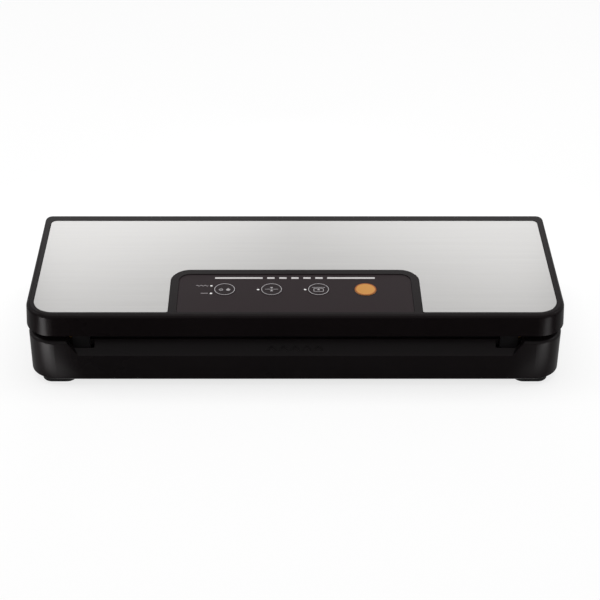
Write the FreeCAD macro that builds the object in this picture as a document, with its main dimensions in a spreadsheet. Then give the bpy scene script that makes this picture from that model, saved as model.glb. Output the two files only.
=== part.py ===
import FreeCAD
import Part
import math
import os
import re
import Sketcher

# Vacuum sealer for kitchen bags. Millimetres, +X to the right of someone standing in front,
# +Y to the back, +Z up, origin at the middle of the footprint on the table.
sizes = {
    # lid
    "lid_width": 370,
    "lid_depth": 135,
    "lid_height": 16.2,
    "lid_draft": 1,
    "lid_front_radius": 20,
    "lid_back_radius": 6,
    "lid_edge_round": 2.6,
    "lid_wall": 2.4,
    "lid_roof": 3.2,
    "lid_gap": 5.3,
    "lid_boss_radius": 3.6,
    "inner_cover_recess": 0.5,
    "inner_cover_thickness": 3.2,
    "inner_cover_clearance": 0.3,
    # steel plate and control panel
    "plate_side_rim": 5,
    "plate_front_rim": 4.6,
    "plate_back_rim": 8.1,
    "plate_front_radius": 14.5,
    "plate_back_radius": 4,
    "plate_thickness": 0.8,
    "plate_sink": 0.2,
    "plate_clearance": 0.25,
    "cutout_half": 86.5,
    "cutout_depth": 53.2,
    "cutout_radius": 13.5,
    "cutout_lip_radius": 2,
    "panel_border": 5.8,
    "panel_thickness": 1.6,
    "panel_sink": 0.45,
    "panel_ledge": 2,
    "panel_clearance": 0.15,
    "panel_front_radius": 1.5,
    # keys, lights and the board under them
    "key_radius": 7.5,
    "key_clearance": 0.2,
    "key_pitch": 32.5,
    "key_drop": 14.6,
    "key_proud": 0.25,
    "key_flange_extra": 0.6,
    "key_flange_thickness": 0.8,
    "key_stem_radius": 1.6,
    "key_stem_length": 2,
    "key_travel": 0.5,
    "key_slack": 0.15,
    "switch_width": 6,
    "switch_height": 4.2,
    "switch_tip_radius": 1.7,
    "switch_tip_height": 0.8,
    "lens_radius": 1,
    "lens_offset": 9.3,
    "lens_spread": 4.75,
    "lens_clearance": 0.05,
    "bar_margin": 4.4,
    "bar_half": 55.8,
    "bar_width": 2,
    "long_bar_length": 33.2,
    "short_bar_length": 5.1,
    "short_bar_pitch": 8.4,
    "guide_thickness": 1,
    "guide_margin": 0.8,
    "board_half": 72,
    "board_depth": 36,
    "board_thickness": 1.6,
    "board_post_radius": 2.6,
    "board_post_bore": 1,
    "board_post_inset": 4,
    # seals, heater and bag mouth
    "post_width": 27,
    "rear_depth": 64.5,
    "channel_depth": 3.5,
    "lip_inset": 8,
    "lip_height": 11.8,
    "trough_margin": 0.5,
    "trough_end_margin": 1.2,
    "trough_depth": 10.5,
    "trough_radius": 8,
    "trough_rim_width": 3,
    "trough_rim_thickness": 1.2,
    "port_rise": 2.5,
    "gasket_end_gap": 2,
    "gasket_setback": 22,
    "gasket_back_gap": 1.5,
    "gasket_width": 5,
    "gasket_radius": 14,
    "gasket_groove": 1.2,
    "upper_groove": 1.6,
    "seal_rise": 4.7,
    "seal_gap": 0.35,
    "rail_end_gap": 7.5,
    "rail_width": 7,
    "rail_setback": 14,
    "rail_sink": 2,
    "rail_height": 5.3,
    "element_width": 3,
    "element_thickness": 0.3,
    "tape_width": 11,
    "tape_thickness": 0.3,
    "terminal_length": 6,
    "seat_clearance": 0.15,
    "strip_overhang": 2.5,
    "strip_width": 8,
    # base
    "base_inset": 1,
    "base_height": 30.7,
    "base_wall": 2.4,
    "base_roof": 2.4,
    "base_edge_round": 2.4,
    "cover_thickness": 2,
    "cover_chamfer": 1.7,
    "foot_height": 4,
    "foot_length": 24,
    "foot_width": 16,
    "foot_radius": 7,
    "foot_edge_round": 0.8,
    "foot_side_inset": 8,
    "foot_end_inset": 3.5,
    "foot_plug": 1,
    "ledge_drop": 1.2,
    # hinge
    "hinge_setback": 6,
    "hinge_rise": 1,
    "hinge_inset": 64,
    "knuckle_radius": 3.5,
    "knuckle_width": 10,
    "lug_width": 16,
    "knuckle_gap": 0.4,
    "pin_radius": 1.75,
    "pin_clearance": 0.05,
    # hooks and release buttons
    "hook_inset": 10.5,
    "hook_width": 12,
    "hook_thickness": 2.6,
    "hook_setback": 6,
    "hook_nose": 2,
    "hook_flange": 1.5,
    "slot_clearance": 0.7,
    "catch_gap": 0.3,
    "catch_drop": 1.1,
    "catch_thickness": 3,
    "catch_width": 5.4,
    "arm_width": 5.6,
    "arm_gap": 0.9,
    "button_length": 12,
    "button_height": 8,
    "button_proud": 0.2,
    "button_depth": 4,
    "button_clearance": 0.35,
    "button_travel": 3,
    "spring_radius": 2.1,
    "spring_wire": 0.5,
    "spring_length": 13,
    "spring_turns": 6,
    "cradle_offset": 26,
    "cradle_length": 10,
    "cradle_wall": 2.2,
    "spring_post": 3,
    "switch_case_length": 10,
    "switch_case_front": 2,
    "switch_case_back": 4,
    "switch_case_rise": 7,
    # pump
    "pump_clearance": 0.6,
    "pump_headroom": 1.3,
    "motor_margin": 0.5,
    "motor_length": 38,
    "motor_face": 12,
    "bracket_offset": 10,
    "bracket_length": 14,
    "bracket_wall": 2,
    "vent_count": 7,
    "vent_start": 2,
    "vent_pitch": 5.5,
    "vent_width": 2,
    "vent_length": 28,
    "shaft_radius": 1.5,
    "shaft_clearance": 0.3,
    "crank_throw": 1.5,
    "crank_radius": 2.9,
    "eye_wall": 1.4,
    "crank_width": 5,
    "crankcase_length": 28,
    "crankcase_wall": 2,
    "cylinder_length": 13,
    "crank_room": 12,
    "bore_radius": 7,
    "bore_clearance": 0.25,
    "piston_thickness": 5,
    "head_thickness": 4,
    "nipple_radius": 2.5,
    "nipple_bore": 1.2,
    "nipple_length": 6,
    "tube_radius": 4,
    "tube_bend": 6,
    "tube_clearance": 0.05,
    "pump_port_x": -60,
    # release valve
    "valve_x": -100,
    "valve_body_width": 15,
    "valve_body_depth": 8,
    "coil_radius": 7.5,
    "coil_length": 22,
    "plunger_radius": 3,
    "plunger_clearance": 0.35,
    "plunger_tail": 4,
    "plunger_travel": 1.5,
    "frame_thickness": 1.5,
    # power board and inlet
    "power_left": 62,
    "power_length": 74,
    "power_clearance": 2.5,
    "power_rise": 3.5,
    "power_post_radius": 2.8,
    "power_post_inset": 4,
    "core_offset": 8,
    "core_length": 30,
    "core_depth": 28,
    "core_height": 17,
    "winding_step": 4,
    "winding_rise": 3,
    "winding_height": 11,
    "capacitor_radius": 6,
    "capacitor_height": 16,
    "capacitor_edge": 0.8,
    "capacitor_inset": 14,
    "capacitor_front": 13,
    "relay_inset": 9,
    "relay_length": 19,
    "relay_margin": 3,
    "relay_depth": 15,
    "relay_height": 14,
    "inlet_x": 140,
    "inlet_drop": 2.9,
    "inlet_width": 24,
    "inlet_height": 15,
    "inlet_depth": 18,
    "inlet_flange": 2,
    "inlet_flange_thickness": 0.8,
    "inlet_recess": 12,
    "inlet_mouth": 4.4,
    "inlet_pin_pitch": 8.6,
    "inlet_pin_radius": 1.2,
    "inlet_pin_length": 9,
    # screws
    "screw_radius": 1.4,
    "screw_head_radius": 2.7,
    "screw_head_height": 1.4,
    "screw_length": 8,
    "screw_clearance": 0.2,
    "screw_slot_half": 1.6,
    "screw_slot_width": 0.6,
    "screw_slot_depth": 0.7,
    "post_radius": 4,
    "lid_screw_inset": 20,
    "lid_screw_setback": 47.5,
    "lid_screw_back": 22.5,
    "lid_screw_middle": 60,
    "base_screw_inset": 12,
    "base_screw_setback": 51.5,
    "base_screw_gap": 2.1,
    "base_screw_middle": 70,
}

# Places that follow from the sizes.
places = {
    "cover_top": "foot_height + cover_thickness",
    "base_top": "cover_top + base_height",
    "base_roof_under": "base_top - base_roof",
    "deck_top": "base_top - channel_depth",
    "deck_under": "deck_top - base_roof",
    "ledge_top": "deck_top - ledge_drop",
    "ledge_under": "ledge_top - base_roof",
    "lid_bottom": "base_top + lid_gap",
    "lid_top": "lid_bottom + lid_height",
    "lid_roof_under": "lid_top - lid_roof",
    "base_half": "lid_width / 2 - base_inset",
    "base_front": "base_inset - lid_depth / 2",
    "base_back": "lid_depth / 2 - base_inset",
    "base_front_radius": "lid_front_radius - base_inset",
    "base_back_radius": "lid_back_radius - base_inset",
    "top_half": "lid_width / 2 - lid_draft",
    "top_front": "lid_draft - lid_depth / 2",
    "top_back": "lid_depth / 2 - lid_draft",
    "plate_half": "top_half - plate_side_rim",
    "plate_front": "top_front + plate_front_rim",
    "plate_back": "top_back - plate_back_rim",
    "plate_top": "lid_top - plate_sink",
    "plate_under": "plate_top - plate_thickness",
    "cutout_back": "plate_front + cutout_depth",
    "panel_half": "cutout_half - panel_border",
    "panel_back": "cutout_back - panel_border",
    "panel_radius": "cutout_radius - panel_border",
    "panel_top": "lid_top - panel_sink",
    "panel_under": "panel_top - panel_thickness",
    "bar_y": "panel_back - bar_margin",
    "key_y": "bar_y - key_drop",
    "key_top": "panel_top + key_proud",
    "key_flange_top": "panel_under - key_slack",
    "key_flange_under": "key_flange_top - key_flange_thickness",
    "key_stem_under": "key_flange_under - key_stem_length",
    "switch_top": "key_stem_under - key_travel - key_slack",
    "board_top": "switch_top - switch_height",
    "board_under": "board_top - board_thickness",
    "board_front": "key_y - board_depth / 2",
    "inner_cover_under": "lid_bottom + inner_cover_recess",
    "inner_cover_top": "inner_cover_under + inner_cover_thickness",
    "inner_cover_inset": "lid_wall + inner_cover_clearance"
    " + lid_draft * (inner_cover_top - lid_bottom) / lid_height",
    "channel_half": "base_half - post_width",
    "channel_back": "base_back - rear_depth",
    "lip_half": "channel_half - lip_inset",
    "gasket_half": "channel_half - gasket_end_gap",
    "gasket_front": "base_front + gasket_setback",
    "gasket_back": "channel_back - gasket_back_gap",
    "trough_half": "gasket_half - gasket_width - trough_end_margin",
    "trough_front": "gasket_front + gasket_width + trough_margin",
    "trough_back": "gasket_back - gasket_width - trough_margin",
    "rail_half": "channel_half - rail_end_gap",
    "strip_half": "rail_half + strip_overhang",
    "gasket_join": "deck_top + seal_rise",
    "upper_gasket_under": "gasket_join + seal_gap / 2",
    "lower_gasket_top": "gasket_join - seal_gap / 2",
    "upper_groove_top": "inner_cover_under + upper_groove",
    "rail_y": "base_front + rail_setback",
    "rail_under": "deck_top - rail_sink",
    "rail_top": "rail_under + rail_height",
    "tape_under": "rail_top + element_thickness",
    "tape_top": "tape_under + tape_thickness",
    "hinge_offset": "base_half - hinge_inset",
    "hinge_y": "lid_depth / 2 - hinge_setback",
    "hinge_z": "base_top + hinge_rise",
    "ledge_front": "hinge_y - knuckle_radius - 1",
    "hook_y": "base_front + hook_setback",
    "hook_offset": "channel_half - hook_inset",
    "hook_inner": "hook_offset - hook_width / 2",
    "hook_outer": "hook_offset + hook_width / 2",
    "catch_top": "base_top - lip_height - catch_drop",
    "hook_tip": "catch_top + catch_gap",
    "catch_under": "catch_top - catch_thickness",
    "catch_inner": "hook_inner - catch_gap * 2 - catch_width",
    "arm_back": "trough_front - base_wall - arm_gap",
    "arm_y": "arm_back - arm_width",
    "button_z": "catch_top - catch_thickness / 2",
    "spring_z": "catch_top - catch_thickness / 2",
    "spring_y": "arm_y + arm_width / 2",
    "spring_end": "catch_inner - spring_length",
    "motor_z": "(cover_top + base_roof_under) / 2",
    "crankcase_height": "base_roof_under - cover_top - pump_headroom * 2",
    "motor_radius": "crankcase_height / 2 + motor_margin",
    "crankcase_front": "channel_back + base_wall + pump_clearance + head_thickness",
    "chamber_front": "crankcase_front + cylinder_length",
    "motor_y": "chamber_front + crank_room",
    "crankcase_back": "motor_y + crank_room",
    "port_z": "deck_top - trough_depth + port_rise",
    "case_left": "motor_face - crankcase_length",
    "case_under": "motor_z - crankcase_height / 2",
    "crank_x": "motor_face - crankcase_length / 2 - 1",
    "head_front": "crankcase_front - head_thickness",
    "head_y": "crankcase_front - head_thickness / 2",
    "eye_inner": "crank_radius + crank_throw * 2 + shaft_clearance * 2",
    "eye_outer": "eye_inner + eye_wall",
    "tub_back": "trough_back + base_wall",
    "valve_front": "crankcase_front",
    "valve_z": "port_z",
    "coil_front": "valve_front + valve_body_depth",
    "coil_back": "coil_front + coil_length",
    "power_right": "power_left + power_length",
    "power_front": "channel_back",
    "power_back": "base_back - inlet_depth - power_clearance",
    "inlet_z": "ledge_under - inlet_drop - inlet_height / 2",
    "power_under": "cover_top + power_rise",
    "power_top": "power_under + board_thickness",
    "screw_bore": "screw_radius + screw_clearance",
    "head_bore": "screw_head_radius + screw_clearance",
}

doc = FreeCAD.newDocument("vacuum_sealer")
sheet = doc.addObject("Spreadsheet::Sheet", "Dims")
for row, (size_name, size_value) in enumerate(sizes.items(), start=1):
    sheet.set("A%d" % row, size_name)
    sheet.set("B%d" % row, str(size_value))
    sheet.setAlias("B%d" % row, size_name)
doc.recompute()

nodes = []


def bound(text):
    # Expression text in which every size and place name is written out for the sheet.
    def written(match):
        word = match.group(0)
        if word in places:
            return "(" + bound(places[word]) + ")"
        if word in sizes:
            return "Dims." + word
        return word

    return re.sub(r"[a-z][a-z0-9_]*", written, str(text))


def number(text):
    return float(sheet.evalExpression(bound(text)))


def bind(piece, **properties):
    for name, text in properties.items():
        piece.setExpression(name.replace("__", "."), bound(text))
    return piece


def placed(piece, at, axis="z"):
    turns = {
        "x": FreeCAD.Rotation(FreeCAD.Vector(0, 1, 0), 90),
        "y": FreeCAD.Rotation(FreeCAD.Vector(1, 0, 0), -90),
        "z": FreeCAD.Rotation(),
    }
    piece.Placement = FreeCAD.Placement(FreeCAD.Vector(), turns[axis])
    for letter, text in zip("xyz", at):
        piece.setExpression("Placement.Base." + letter, bound(text))
    return piece


def block(name, low, high):
    piece = doc.addObject("Part::Box", name)
    extents = ["(%s) - (%s)" % (far, near) for near, far in zip(low, high)]
    bind(piece, Length=extents[0], Width=extents[1], Height=extents[2])
    return placed(piece, low)


def rod(name, at, radius, length, axis="z"):
    piece = doc.addObject("Part::Cylinder", name)
    bind(piece, Radius=radius, Height=length)
    return placed(piece, at, axis)


def joined(name, pieces):
    piece = doc.addObject("Part::MultiFuse", name)
    piece.Shapes = pieces
    piece.Refine = True
    return piece


def cut(name, solid, tools):
    piece = doc.addObject("Part::Cut", name)
    piece.Base = solid
    piece.Tool = tools[0] if len(tools) == 1 else joined(name + "_tools", tools)
    piece.Refine = True
    return piece


def group(name, pieces):
    piece = doc.addObject("Part::Compound", name)
    piece.Links = pieces
    return piece


def mirrored(name, source):
    piece = doc.addObject("Part::Mirroring", name)
    piece.Source = source
    piece.Normal = FreeCAD.Vector(1, 0, 0)
    return piece


def node(piece, label):
    piece.Label = label
    nodes.append(piece)
    return piece


def new_body(name):
    return doc.addObject("PartDesign::Body", name)


def new_sketch(body, name, role, level):
    sketch = body.newObject("Sketcher::SketchObject", name)
    plane = [item for item in body.Origin.OriginFeatures if item.Role == role][0]
    sketch.AttachmentSupport = (plane, [""])
    sketch.MapMode = "FlatFace"
    bind(sketch, AttachmentOffset__Base__z=level)
    return sketch


def from_origin(sketch, kind, item, point, text, name):
    # One coordinate of a sketch point, measured from the sketch origin.
    value = number(text)
    if abs(value) < 1e-9:
        axis = -2 if kind == "DistanceX" else -1
        sketch.addConstraint(Sketcher.Constraint("PointOnObject", item, point, axis))
        return
    ends = (-1, 1, item, point) if value > 0 else (item, point, -1, 1)
    index = sketch.addConstraint(Sketcher.Constraint(kind, *ends, abs(value)))
    sketch.renameConstraint(index, name)
    sign = "" if value > 0 else "-1 * "
    sketch.setExpression("Constraints." + name, bound("%s(%s)" % (sign, text)))


def outline(body, name, level, half, front, back, front_radius, back_radius):
    # Rectangle symmetric about the middle plane, with one radius in front and one behind.
    sketch = new_sketch(body, name, "XY_Plane", level)
    side = number(half)
    low = number(front)
    top = number(back)
    near = number(front_radius)
    far = number(back_radius)

    def line(x_from, y_from, x_to, y_to):
        start = FreeCAD.Vector(x_from, y_from, 0)
        sketch.addGeometry(Part.LineSegment(start, FreeCAD.Vector(x_to, y_to, 0)), False)

    def corner(x, y, radius, start):
        circle = Part.Circle(FreeCAD.Vector(x, y, 0), FreeCAD.Vector(0, 0, 1), radius)
        arc = Part.ArcOfCircle(circle, math.radians(start), math.radians(start + 90))
        sketch.addGeometry(arc, False)

    line(near - side, low, side - near, low)
    corner(side - near, low + near, near, 270)
    line(side, low + near, side, top - far)
    corner(side - far, top - far, far, 0)
    line(side - far, top, far - side, top)
    corner(far - side, top - far, far, 90)
    line(-side, top - far, -side, low + near)
    corner(near - side, low + near, near, 180)
    for item in range(8):
        sketch.addConstraint(Sketcher.Constraint("Tangent", item, 2, (item + 1) % 8, 1))
    sketch.addConstraint(Sketcher.Constraint("Horizontal", 0))
    sketch.addConstraint(Sketcher.Constraint("Horizontal", 4))
    sketch.addConstraint(Sketcher.Constraint("Vertical", 2))
    sketch.addConstraint(Sketcher.Constraint("Vertical", 6))
    sketch.addConstraint(Sketcher.Constraint("Equal", 1, 7))
    sketch.addConstraint(Sketcher.Constraint("Equal", 3, 5))
    for item, name_of_radius, text in ((1, "near", front_radius), (3, "far", back_radius)):
        value = number(text)
        index = sketch.addConstraint(Sketcher.Constraint("Radius", item, value))
        sketch.renameConstraint(index, name_of_radius)
        sketch.setExpression("Constraints." + name_of_radius, bound(text))
    from_origin(sketch, "DistanceX", 2, 1, half, "right")
    from_origin(sketch, "DistanceX", 6, 1, "-(%s)" % half, "left")
    from_origin(sketch, "DistanceY", 0, 1, front, "front")
    from_origin(sketch, "DistanceY", 4, 1, back, "back")
    return sketch


def polygon(body, name, role, level, points):
    sketch = new_sketch(body, name, role, level)
    corners = [FreeCAD.Vector(number(x), number(y), 0) for x, y in points]
    count = len(corners)
    for item in range(count):
        edge = Part.LineSegment(corners[item], corners[(item + 1) % count])
        sketch.addGeometry(edge, False)
    for item in range(count):
        after = (item + 1) % count
        sketch.addConstraint(Sketcher.Constraint("Coincident", item, 2, after, 1))
    for item, (x, y) in enumerate(points):
        from_origin(sketch, "DistanceX", item, 1, x, "across_%d" % item)
        from_origin(sketch, "DistanceY", item, 1, y, "along_%d" % item)
    return sketch


def pad(body, sketch, length):
    feature = body.newObject("PartDesign::Pad", sketch.Name + "_pad")
    feature.Profile = sketch
    bind(feature, Length=length)
    return feature


def pocket(body, sketch, depth):
    feature = body.newObject("PartDesign::Pocket", sketch.Name + "_pocket")
    feature.Profile = sketch
    bind(feature, Length=depth)
    return feature


def edges_where(feature, wanted):
    doc.recompute()
    found = []
    for index, edge in enumerate(feature.Shape.Edges, start=1):
        if wanted(edge):
            found.append("Edge%d" % index)
    return found


def level_edges(feature, level):
    height = number(level)

    def wanted(edge):
        box = edge.BoundBox
        return abs(box.ZMin - height) < 1e-4 and abs(box.ZMax - height) < 1e-4

    return edges_where(feature, wanted)


def edge_dress(body, kind, level, **size):
    last = body.Tip
    names = level_edges(last, level)
    feature = body.newObject("PartDesign::" + kind, body.Name + "_" + kind.lower())
    feature.Base = (last, names)
    bind(feature, **size)
    body.Tip = feature
    return feature


def slab(name, level, height, half, front, back, front_radius, back_radius):
    body = new_body(name)
    sketch = outline(body, name + "_outline", level, half, front, back, front_radius, back_radius)
    pad(body, sketch, height)
    return body


def ring(name, level, height, grow):
    # Closed loop round the vacuum trough, widened on both sides by the grow size.
    body = new_body(name)
    outer = outline(
        body,
        name + "_outer",
        level,
        "gasket_half + %s" % grow,
        "gasket_front - %s" % grow,
        "gasket_back + %s" % grow,
        "gasket_radius + %s" % grow,
        "gasket_radius + %s" % grow,
    )
    pad(body, outer, height)
    inner = outline(
        body,
        name + "_inner",
        "(%s) + (%s)" % (level, height),
        "gasket_half - gasket_width - %s" % grow,
        "gasket_front + gasket_width + %s" % grow,
        "gasket_back - gasket_width - %s" % grow,
        "gasket_radius - gasket_width - %s" % grow,
        "gasket_radius - gasket_width - %s" % grow,
    )
    pocket(body, inner, height)
    return body


def turned(name, profile, at, axis="z"):
    # Solid of revolution from radius and height pairs.
    body = new_body(name)
    sketch = polygon(body, name + "_profile", "XZ_Plane", "0", profile)
    feature = body.newObject("PartDesign::Revolution", name + "_turn")
    feature.Profile = sketch
    feature.ReferenceAxis = (sketch, ["V_Axis"])
    feature.Angle = 360
    placed(body, at, axis)
    return body


def side_profile(name, points, back, depth):
    # Flat piece seen from the front, from its back face towards the front.
    body = new_body(name)
    sketch = polygon(body, name + "_profile", "XZ_Plane", "-(%s)" % back, points)
    pad(body, sketch, depth)
    return body


def drafted(name, level, height, half, front, back, front_radius, back_radius, angle):
    # Slab whose sides lean inward towards the top.
    body = slab(name, level, height, half, front, back, front_radius, back_radius)
    doc.recompute()
    straight = body.Tip
    low = number(level)
    sides = []
    floor = ""
    for index, face in enumerate(straight.Shape.Faces, start=1):
        box = face.BoundBox
        if box.ZLength > 0.1:
            sides.append("Face%d" % index)
        elif abs(box.ZMin - low) < 1e-4:
            floor = "Face%d" % index
    draft = body.newObject("PartDesign::Draft", name + "_draft")
    draft.Base = (straight, sides)
    draft.NeutralPlane = (straight, [floor])
    bind(draft, Angle=angle)
    body.Tip = draft
    return body


def plate_form(name, level, height, grow):
    # Outline of the steel plate with its cut-out, grown by a clearance for the recess.
    body = slab(
        name,
        level,
        height,
        "plate_half + %s" % grow,
        "plate_front - %s" % grow,
        "plate_back + %s" % grow,
        "plate_front_radius + %s" % grow,
        "plate_back_radius + %s" % grow,
    )
    opening = outline(
        body,
        name + "_opening",
        "(%s) + (%s)" % (level, height),
        "cutout_half - %s" % grow,
        "plate_front - 12",
        "cutout_back - %s" % grow,
        "1",
        "cutout_radius - %s" % grow,
    )
    feature = pocket(body, opening, height)
    front = number("plate_front - %s" % grow)
    half = number("cutout_half - %s" % grow)

    def lip_corner(edge):
        box = edge.BoundBox
        upright = box.ZLength > 0.1 and box.XLength < 0.01 and box.YLength < 0.01
        return upright and abs(box.YMin - front) < 0.01 and abs(abs(box.XMin) - half) < 0.01

    names = edges_where(feature, lip_corner)
    fillet = body.newObject("PartDesign::Fillet", name + "_lips")
    fillet.Base = (feature, names)
    bind(fillet, Radius="cutout_lip_radius")
    body.Tip = fillet
    return body


def screw(name, at):
    # Pan head screw with a cross recess, head at the bottom when it points up.
    head = turned(
        name + "_body",
        [
            ("0", "0"),
            ("screw_head_radius - 0.4", "0"),
            ("screw_head_radius", "0.4"),
            ("screw_head_radius", "screw_head_height"),
            ("screw_radius", "screw_head_height"),
            ("screw_radius", "screw_head_height + screw_length"),
            ("0", "screw_head_height + screw_length"),
        ],
        at,
    )
    x, y, z = at
    arms = []
    half = "screw_slot_width / 2"
    for index, (wide, deep) in enumerate((("screw_slot_half", half), (half, "screw_slot_half"))):
        low = ("%s - %s" % (x, wide), "%s - %s" % (y, deep), "%s - 1" % z)
        high = ("%s + %s" % (x, wide), "%s + %s" % (y, deep), "%s + screw_slot_depth" % z)
        arms.append(block("%s_arm_%d" % (name, index), low, high))
    return cut(name, head, arms)


lid_screw_side = "lid_width / 2 - lid_screw_inset"
lid_screw_rear = "lid_depth / 2 - lid_screw_back"
base_screw_side = "base_half - base_screw_inset"
base_screw_rear = "base_back - foot_end_inset - foot_width - head_bore - base_screw_gap"
lid_screw_spots = [
    ("%d * (%s)" % (side, x), y)
    for x, y in (
        (lid_screw_side, "lid_screw_setback - lid_depth / 2"),
        (lid_screw_side, lid_screw_rear),
        ("lid_screw_middle", lid_screw_rear),
    )
    for side in (-1, 1)
]
base_screw_spots = [
    ("%d * (%s)" % (side, x), y)
    for x, y in (
        (base_screw_side, "base_front + base_screw_setback"),
        (base_screw_side, base_screw_rear),
        ("base_screw_middle", "rail_y"),
    )
    for side in (-1, 1)
]
switch_place = (
    "hook_offset",
    "switch_case_length / 2",
    "hook_y - switch_case_front",
    "hook_y + switch_case_back",
)
key_names = ["mode_key", "seal_key", "vacuum_seal_key", "start_key"]
key_spots = ["key_pitch * %s" % step for step in (-1.5, -0.5, 0.5, 1.5)]
lens_spots = [
    ("%s - lens_offset" % key_spots[0], "key_y + lens_spread"),
    ("%s - lens_offset" % key_spots[0], "key_y - lens_spread"),
    ("%s - lens_offset" % key_spots[1], "key_y"),
    ("%s - lens_offset" % key_spots[2], "key_y"),
]
board_post_spots = [
    (
        "%s * (board_half - board_post_inset)" % side,
        "key_y + %s * (board_depth / 2 - board_post_inset)" % end,
    )
    for side in (-1, 1)
    for end in (-1, 1)
]


def make_lid_shell():
    lean = "atan(lid_draft / lid_height)"
    outer = drafted(
        "lid_outer",
        "lid_bottom",
        "lid_height",
        "lid_width / 2",
        "-lid_depth / 2",
        "lid_depth / 2",
        "lid_front_radius",
        "lid_back_radius",
        lean,
    )
    edge_dress(outer, "Fillet", "lid_top", Radius="lid_edge_round")
    hollow = drafted(
        "lid_hollow",
        "lid_bottom",
        "lid_height - lid_roof",
        "lid_width / 2 - lid_wall",
        "lid_wall - lid_depth / 2",
        "lid_depth / 2 - lid_wall",
        "lid_front_radius - lid_wall",
        "lid_back_radius - lid_wall",
        lean,
    )
    recess = plate_form(
        "plate_recess", "plate_under", "plate_thickness + plate_sink + 1", "plate_clearance"
    )
    panel_bed = slab(
        "panel_bed",
        "panel_under",
        "panel_thickness + panel_sink + 1",
        "panel_half + panel_clearance",
        "plate_front - panel_clearance",
        "panel_back + panel_clearance",
        "panel_front_radius + panel_clearance",
        "panel_radius + panel_clearance",
    )
    window = slab(
        "panel_window",
        "lid_roof_under - 1",
        "lid_roof + 1",
        "panel_half - panel_ledge",
        "plate_front + panel_ledge",
        "panel_back - panel_ledge",
        "3",
        "panel_radius - panel_ledge",
    )
    shell = cut("lid_shell_open", outer, [hollow, recess, panel_bed, window])
    bosses = []
    bores = []
    for index, (x, y) in enumerate(lid_screw_spots):
        tall = "lid_roof_under - inner_cover_top + 0.5"
        bosses.append(
            rod("lid_boss_%d" % index, (x, y, "inner_cover_top"), "lid_boss_radius", tall)
        )
        bores.append(
            rod("lid_bore_%d" % index, (x, y, "inner_cover_top - 1"), "screw_bore", "screw_length")
        )
    node(cut("lid_shell", joined("lid_shell_bossed", [shell] + bosses), bores), "lid_shell")


def make_top_plate():
    plate = plate_form("top_plate", "plate_under", "plate_thickness", "0")
    edge_dress(plate, "Chamfer", "plate_top", Size="plate_thickness / 4")
    node(plate, "top_plate")


def make_panel():
    sheet_of_panel = slab(
        "panel_blank",
        "panel_under",
        "panel_thickness",
        "panel_half",
        "plate_front",
        "panel_back",
        "panel_front_radius",
        "panel_radius",
    )
    tools = []
    for index, x in enumerate(key_spots):
        radius = "key_radius + key_clearance"
        tall = "panel_thickness + 2"
        tools.append(rod("key_hole_%d" % index, (x, "key_y", "panel_under - 1"), radius, tall))
    for index, (x, y) in enumerate(lens_spots):
        radius = "lens_radius + lens_clearance"
        tall = "panel_thickness + 2"
        tools.append(rod("lens_hole_%d" % index, (x, y, "panel_under - 1"), radius, tall))
    for index, (start, end) in enumerate(bar_spans()):
        low = ("%s - lens_clearance" % start, "bar_y - bar_width / 2 - lens_clearance")
        high = ("%s + lens_clearance" % end, "bar_y + bar_width / 2 + lens_clearance")
        tools.append(
            block("bar_slot_%d" % index, low + ("panel_under - 1",), high + ("panel_top + 1",))
        )
    node(cut("control_panel", sheet_of_panel, tools), "control_panel")


def bar_spans():
    spans = [("-bar_half", "long_bar_length - bar_half")]
    for step in range(-2, 3):
        middle = "%d * short_bar_pitch" % step
        spans.append(
            ("%s - short_bar_length / 2" % middle, "%s + short_bar_length / 2" % middle)
        )
    spans.append(("bar_half - long_bar_length", "bar_half"))
    return spans


def make_lights():
    low = ("-bar_half - guide_margin", "bar_y - bar_width / 2 - guide_margin")
    high = ("bar_half + guide_margin", "bar_y + bar_width / 2 + guide_margin")
    pieces = [
        block("guide_strip", low + ("panel_under - guide_thickness",), high + ("panel_under",))
    ]
    for index, (start, end) in enumerate(bar_spans()):
        low = (start, "bar_y - bar_width / 2", "panel_under - guide_thickness / 2")
        high = (end, "bar_y + bar_width / 2", "panel_top")
        pieces.append(block("guide_bar_%d" % index, low, high))
    node(joined("light_guide", pieces), "light_guide")
    lenses = []
    for index, (x, y) in enumerate(lens_spots):
        profile = [
            ("0", "0"),
            ("lens_radius", "0"),
            ("lens_radius", "panel_top - board_top - 1.3"),
            ("lens_radius - 0.25", "panel_top - board_top - 1"),
            ("0", "panel_top - board_top - 1"),
        ]
        lenses.append(turned("lens_%d" % index, profile, (x, y, "board_top + 1")))
    node(group("indicator_lenses", lenses), "indicator_lenses")


def make_keys():
    for name, x in zip(key_names, key_spots):
        profile = [
            ("0", "0"),
            ("key_stem_radius", "0"),
            ("key_stem_radius", "key_flange_under - key_stem_under"),
            ("key_radius + key_flange_extra", "key_flange_under - key_stem_under"),
            ("key_radius + key_flange_extra", "key_flange_top - key_stem_under"),
            ("key_radius", "key_flange_top - key_stem_under"),
            ("key_radius", "key_top - key_stem_under - 0.3"),
            ("key_radius - 0.3", "key_top - key_stem_under"),
            ("0", "key_top - key_stem_under"),
        ]
        node(turned(name, profile, (x, "key_y", "key_stem_under")), name)


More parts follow.
